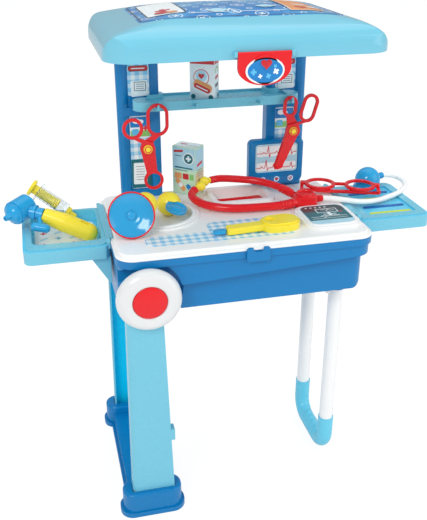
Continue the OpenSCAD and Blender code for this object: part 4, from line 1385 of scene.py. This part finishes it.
class DOCTOR_OT_scissors(bpy.types.Operator):
    """Two pairs of play scissors that hang from the shelf's hooks"""

    bl_idname = "doctor.scissors"
    bl_label = "Add Scissors"

    def execute(self, context):
        red = plastic(context, "red", 0.26)
        yellow = plastic(context, "yellow", 0.24)
        for name, at in (("left", (-106, 48.75, 498.2)), ("right", (107.5, 48.75, 510.3))):
            moulded(context, name + "_scissors_upper", [red], 1.25)
            moulded(context, name + "_scissors_lower", [red], 1.25)
            cap = [(0, 0), (6.3, 0), (6.3, 1.7), (6.0, 2.3), (5.3, 2.6), (4.6, 2.5), (4.3, 2.2),
                   (4.0, 2.4), (2.5, 2.8), (0, 2.95)]
            shape = turned(cap, 40)
            made(context, name + "_scissors_cap", shape, name + "_scissors",
                 [yellow], (), 40, place=aimed(at, (0, -1, 0)))
        return {"FINISHED"}


class DOCTOR_OT_cartons(bpy.types.Operator):
    """Two printed play cartons"""

    bl_idname = "doctor.cartons"
    bl_label = "Add Cartons"

    def execute(self, context):
        self.tall(context)
        self.small(context)
        return {"FINISHED"}

    def body(self, context, node, corner, turn, size, tone):
        shape = soften(slab(rounded_box(size[0], size[1], 0.5, steps=2), size[2]), 0.35, 2, 60)
        bmesh.ops.translate(shape, verts=shape.verts, vec=(-size[0] / 2, size[1] / 2, 0))
        made(context, node + "_finished", shape, node, [ink(context, tone, 0.42)],
             (node,), 35, place=turned_about_z(corner, turn))
        spin = Matrix.Rotation(math.radians(turn), 3, "Z")
        corner = Vector(corner)
        long, deep, up = spin @ Vector((1, 0, 0)), spin @ Vector((0, 1, 0)), Vector((0, 0, 1))
        front = Print(corner - long * size[0] / 2 + up * size[2] / 2, long, up)
        side = Print(corner + deep * size[1] / 2 + up * size[2] / 2, deep, up)
        back = Print(corner - long * size[0] / 2 + deep * size[1] + up * size[2] / 2, -long, up)
        lid = Print(corner - long * size[0] / 2 + deep * size[1] / 2 + up * size[2], long, deep)
        return front, side, back, lid

    def tall(self, context):
        tones = ["mint", "sky", "green", "orange", "ink_red", "picture_blue", "paper", "sand",
                 "teal", "grey"]
        front, side, back, lid = self.body(
            context, "tall_box", (-33, 75.5, DECK_Z), -42, (39, 26, 74), "mint")
        for face in (front, back):
            face.add(rounded_box(37.5, 33, 1), 1, (0, 19))
            face.add(round_outline(9), 6, (8, 20))
            face.add(round_outline(7.5), 8, (8, 20))
            face.add(cross_outline(8.5, 3), 6, (8, 20))
            face.add(rounded_box(16, 3.4, 1.6), 4, (-9, 30), 8)
            face.line([(-15, 23), (-4, 23)], 1.2, 8)
            face.line([(-15, 5), (14, 5)], 2.2, 8)
            face.line([(-15, 1), (6, 1)], 1.2, 8)
            face.add(rounded_box(12, 9, 1), 3, (-10, -8))
            face.add(rounded_box(10, 9, 1), 4, (3, -8))
            face.add(rounded_box(7, 9, 1), 2, (13, -8))
            face.add(rounded_box(22, 8, 3.9), 3, (-6, -22), -50)
            face.add(rounded_box(7, 7, 1), 6, (-6, -22), -50)
            face.add(rounded_box(10, 7.4, 3.6), 5, (8, -24), -50)
            face.add(rounded_box(9, 7.4, 3.6), 6, (13, -29), -50)
        side.add(rounded_box(24.5, 33, 1), 7, (0, -18))
        side.add(rounded_box(24.5, 31, 1), 1, (0, 19))
        side.add(rounded_box(16, 4.4, 2), 4, (0, 11), 12)
        side.add(rounded_box(20, 13, 2), 3, (0, -26))
        for k in range(4):
            side.line([(-8, 2 - 3 * k), (8, 2 - 3 * k)], 0.8, 9)
        lid.add(rounded_box(36, 23, 1), 6)
        lid.add(rounded_box(11, 4.4, 2), 4, (-8, 2), 15)
        lid.line([(-18, -10.4), (18, -10.4)], 0.5, 9)
        for k in range(5):
            lid.add(round_outline(1.5), 2 if k % 2 else 3, (2 + 3.6 * k, -3))
        printed(context, "tall_box_print", [front, side, back, lid], "tall_box", tones)

    def small(self, context):
        tones = ["paper", "ink_red", "sky", "orange", "green", "grey", "picture_blue", "teal"]
        front, side, back, lid = self.body(
            context, "small_box", (-7, 63.5, 558), -30, (36, 23, 58), "paper")
        for face in (front, back):
            face.add(rounded_box(35, 8, 1), 1, (0, 24.5))
            face.add(round_outline(11.5), 1, (-1, 2))
            face.add(round_outline(10.4), 0, (-1, 2))
            face.add(round_outline(8), 2, (-1, 4))
            face.add(heart_outline(9), 1, (-1, 4))
            face.add(rounded_box(28, 12, 5), 3, (1, -10), -22)
            face.add(rounded_box(25, 7, 3), 1, (0, -13), -22)
            face.line([(-8, -10), (8, -16.5)], 1.4, 0)
            face.add(round_outline(3.4), 7, (-13, -25))
            face.add(round_outline(3.4), 7, (13, -25))
        side.add(rounded_box(22, 8, 1), 1, (0, 24.5))
        side.line([(6 * math.cos(a), 9 + 7 * math.sin(a)) for a in
                   [math.pi * k / 10 for k in range(11)]], 2.6, 4)
        side.add(rounded_box(15, 4.5, 2), 1, (0, 2), 8)
        side.add(rounded_box(14, 5, 1), 5, (0, -9), 4)
        side.add(round_outline(3.4), 7, (7, -25))
        lid.add(rounded_box(34, 21, 1), 1)
        lid.add(round_outline(5), 0, (2, 0))
        lid.line([(-17, -9.6), (17, -9.6)], 0.5, 5)
        printed(context, "small_box_print", [front, side, back, lid], "small_box", tones)


# ---- instruments ---------------------------------------------------------------------------


class DOCTOR_OT_head_mirror(bpy.types.Operator):
    """Head mirror with its red rim, and the yellow ball behind it"""

    bl_idname = "doctor.head_mirror"
    bl_label = "Add Head Mirror"

    def execute(self, context):
        bowl = 73.08
        face = [(0, -2.6), (3.6, -2.7), (5.3, -3.2), (6, -4.2), (6.3, -5.5)]
        for r in range(8, 29, 2):
            ridge = 0.5 if r == 12 else 0.0
            face.append((r, 67.08 - math.sqrt(bowl * bowl - r * r) + ridge))
        face += [(28.9, -0.1), (28.9, -2.1)]
        face += [(r, 67.08 - math.sqrt((bowl + 2) ** 2 - r * r)) for r in range(28, 0, -4)]
        dish = turned(face + [(0, -8)], 96)
        place = aimed(DISH_AT, DISH_AXIS)
        made(context, "mirror_dish_finished", dish, "head_mirror",
             [plastic(context, "tool_blue", 0.12, coat=0.6)], ("mirror_dish",), 50, place=place)
        rim = [(29.02, -1.5), (29.4, -2), (30.5, -2), (31, -1.4), (31, 1.9), (30.6, 2.4),
               (29.6, 2.5), (29.1, 2.0), (29.02, -1.5)]
        ring = turned(rim, 96)
        made(context, "mirror_ring_finished", ring, "head_mirror",
             [plastic(context, "red", 0.22)], ("mirror_ring",), 60, place=place)
        moulded(context, "mirror_ball", [plastic(context, "yellow", 0.22)], 0.7)
        return {"FINISHED"}


class DOCTOR_OT_eye_lamp(bpy.types.Operator):
    """Eye lamp: yellow ball with a stepped blue lens"""

    bl_idname = "doctor.eye_lamp"
    bl_label = "Add Eye Lamp"

    def execute(self, context):
        moulded(context, "lamp_ball", [plastic(context, "yellow", 0.22)], 0.7)
        lens = [(0, -2.6), (15, -2.6), (15.4, -2.2), (15.4, 1.9), (15.0, 2.5), (13.8, 2.6),
                (13.0, 1.7), (9.5, 1.0), (8.8, 1.7), (4, 2.3), (0, 2.5)]
        shape = turned(lens, 72)
        made(context, "lamp_lens_finished", shape, "eye_lamp",
             [plastic(context, "tool_blue", 0.1, coat=0.7)], ("lamp_lens",), 40,
             place=aimed(LENS_AT, LENS_AXIS))
        return {"FINISHED"}


class DOCTOR_OT_glasses(bpy.types.Operator):
    """Play spectacles with their temples folded"""

    bl_idname = "doctor.glasses"
    bl_label = "Add Glasses"

    def execute(self, context):
        red = plastic(context, "red", 0.2)
        moulded(context, "glasses", [red], 1.6)
        moulded(context, "glasses_temples", [red], 0.9)
        return {"FINISHED"}


class DOCTOR_OT_thermometer(bpy.types.Operator):
    """Thermometer and tweezers on the deck"""

    bl_idname = "doctor.thermometer"
    bl_label = "Add Thermometer"

    def execute(self, context):
        moulded(context, "thermometer", [plastic(context, "yellow", 0.28)], 1.2)
        moulded(context, "thermometer_tip", [plastic(context, "tool_blue")], 1.2)
        moulded(context, "tweezers", [plastic(context, "red")], 1.0)
        return {"FINISHED"}


class DOCTOR_OT_syringe(bpy.types.Operator):
    """Play syringe: clear barrel with its scale, plunger and nozzle"""

    bl_idname = "doctor.syringe"
    bl_label = "Add Syringe"

    def execute(self, context):
        place = aimed(SYRINGE_TOP, SYRINGE_TIP - SYRINGE_TOP)
        wall = [(8, 12), (9.5, 12), (9.5, 59.2), (9.2, 59.8), (8.6, 60), (0, 60), (0, 57), (7.6, 57),
                (8, 56.4), (8, 12)]
        barrel = turned(wall, 56)
        tab = self.tab()
        join(barrel, tab, Matrix.Translation((0, 0, 12)))
        made(context, "syringe_barrel_finished", barrel, "syringe",
             [clear_plastic(context)], ("syringe_barrel",), 40, place=place)
        marks = bmesh.new()
        for k in range(6):
            self.mark(marks, 20 + 6 * k, 60 if k % 2 == 0 else 36)
        bmesh.ops.recalc_face_normals(marks, faces=marks.faces)
        made(context, "syringe_scale", marks, "syringe", [ink(context, "grey")], (), 40,
             place=place)
        rod = [(0, 0), (11.3, 0), (12, 0.7), (12, 3.8), (11.3, 4.5), (7.8, 4.6), (7, 5.4), (7, 38.8),
               (7.6, 39.8), (7.9, 40.4), (7.9, 42), (7.3, 42.6), (7.3, 43.4), (7.9, 44), (7.9, 45.5),
               (7.3, 46), (0, 46)]
        plunger = turned(rod, 56)
        made(context, "syringe_plunger_finished", plunger, "plunger",
             [plastic(context, "yellow", 0.28)], ("syringe_plunger",), 40, place=place)
        tip = [(0, 60.02), (6.3, 60.02), (6.5, 60.6), (6.5, 65.2), (5.9, 66), (3.6, 66.6), (3.0, 68),
               (2.6, 75.4), (2.2, 76), (1.3, 76), (1.3, 71), (0, 71)]
        nozzle = turned(tip, 40)
        made(context, "syringe_nozzle_finished", nozzle, "syringe",
             [plastic(context, "yellow", 0.28)], ("syringe_nozzle",), 40, place=place)
        return {"FINISHED"}

    def tab(self):
        """Finger tab: a flat ring wider one way."""
        steps = 48
        shape = bmesh.new()
        loops = []
        for outline in (
            [(15 * math.cos(2 * math.pi * k / steps),
              max(-10, min(10, 15 * math.sin(2 * math.pi * k / steps)))) for k in range(steps)],
            round_outline(9.4, steps=steps),
        ):
            points = [shape.verts.new((x, y, 0)) for x, y in outline]
            loops += [shape.edges.new(pair) for pair in zip(points, points[1:] + points[:1])]
        flat = bmesh.ops.bridge_loops(shape, edges=loops)["faces"]
        grown = bmesh.ops.extrude_face_region(shape, geom=flat)["geom"]
        raised = [v for v in grown if isinstance(v, bmesh.types.BMVert)]
        bmesh.ops.translate(shape, verts=raised, vec=(0, 0, 2))
        bmesh.ops.recalc_face_normals(shape, faces=shape.faces)
        return soften(shape, 0.5, 2)

    def mark(self, target, low, sweep):
        shape = bmesh.new()
        points = [shape.verts.new(p) for p in
                  ((9.48, 0, low), (9.58, 0, low), (9.58, 0, low + 0.6), (9.48, 0, low + 0.6))]
        face = shape.faces.new(points)
        turn = math.radians(sweep)
        bmesh.ops.spin(shape, geom=[face], axis=(0, 0, 1), cent=(0, 0, 0), dvec=(0, 0, 0),
                       angle=turn, steps=8, use_merge=False, use_duplicate=False)
        join(target, shape, Matrix.Rotation(math.radians(-130) - turn / 2, 4, "Z"))


class DOCTOR_OT_ear_scope(bpy.types.Operator):
    """Ear scope: blue head, yellow handle and trigger"""

    bl_idname = "doctor.ear_scope"
    bl_label = "Add Ear Scope"

    def execute(self, context):
        blue = plastic(context, "tool_blue", 0.18)
        moulded(context, "scope_head", [blue], 0.9)
        moulded(context, "scope_handle", [plastic(context, "yellow", 0.28)], 1.1, tilt=45)
        moulded(context, "scope_trigger", [blue], 0.6)
        return {"FINISHED"}


# ---- panel and registering -----------------------------------------------------------------

PARTS = (
    DOCTOR_OT_stage, DOCTOR_OT_stethoscope, DOCTOR_OT_tub, DOCTOR_OT_wheels, DOCTOR_OT_legs,
    DOCTOR_OT_handle, DOCTOR_OT_deck, DOCTOR_OT_deck_prints, DOCTOR_OT_side_tables,
    DOCTOR_OT_posts, DOCTOR_OT_post_prints, DOCTOR_OT_monitor, DOCTOR_OT_canopy,
    DOCTOR_OT_canopy_print, DOCTOR_OT_clasp, DOCTOR_OT_scissors, DOCTOR_OT_cartons,
    DOCTOR_OT_head_mirror, DOCTOR_OT_eye_lamp, DOCTOR_OT_glasses, DOCTOR_OT_thermometer,
    DOCTOR_OT_syringe, DOCTOR_OT_ear_scope,
)
SETTINGS = (
    ("case_colours", CaseColours), ("print_colours", PrintColours), ("case_sizes", CaseSizes),
    ("case_stage", StageSettings),
)


class DOCTOR_PT_parts(bpy.types.Panel):
    """Parts and settings of the toy doctor case"""

    bl_idname = "DOCTOR_PT_parts"
    bl_label = "Toy Doctor Case"
    bl_space_type = "VIEW_3D"
    bl_region_type = "UI"
    bl_category = "Doctor Case"

    def draw(self, context):
        column = self.layout.column(align=True)
        for part in PARTS:
            column.operator(part.bl_idname)
        for name, group in SETTINGS:
            column = self.layout.column()
            for key in group.__annotations__:
                column.prop(getattr(context.scene, name), key)


def register():
    for _, group in SETTINGS:
        bpy.utils.register_class(group)
    for name, group in SETTINGS:
        setattr(bpy.types.Scene, name, PointerProperty(type=group))
    for part in PARTS:
        bpy.utils.register_class(part)
    bpy.utils.register_class(DOCTOR_PT_parts)


def unregister():
    bpy.utils.unregister_class(DOCTOR_PT_parts)
    for part in reversed(PARTS):
        bpy.utils.unregister_class(part)
    for name, _ in SETTINGS:
        delattr(bpy.types.Scene, name)
    for _, group in reversed(SETTINGS):
        bpy.utils.unregister_class(group)


def main():
    register()
    for part in PARTS:
        group, name = part.bl_idname.split(".")
        getattr(getattr(bpy.ops, group), name)()


if __name__ == "__main__":
    main()
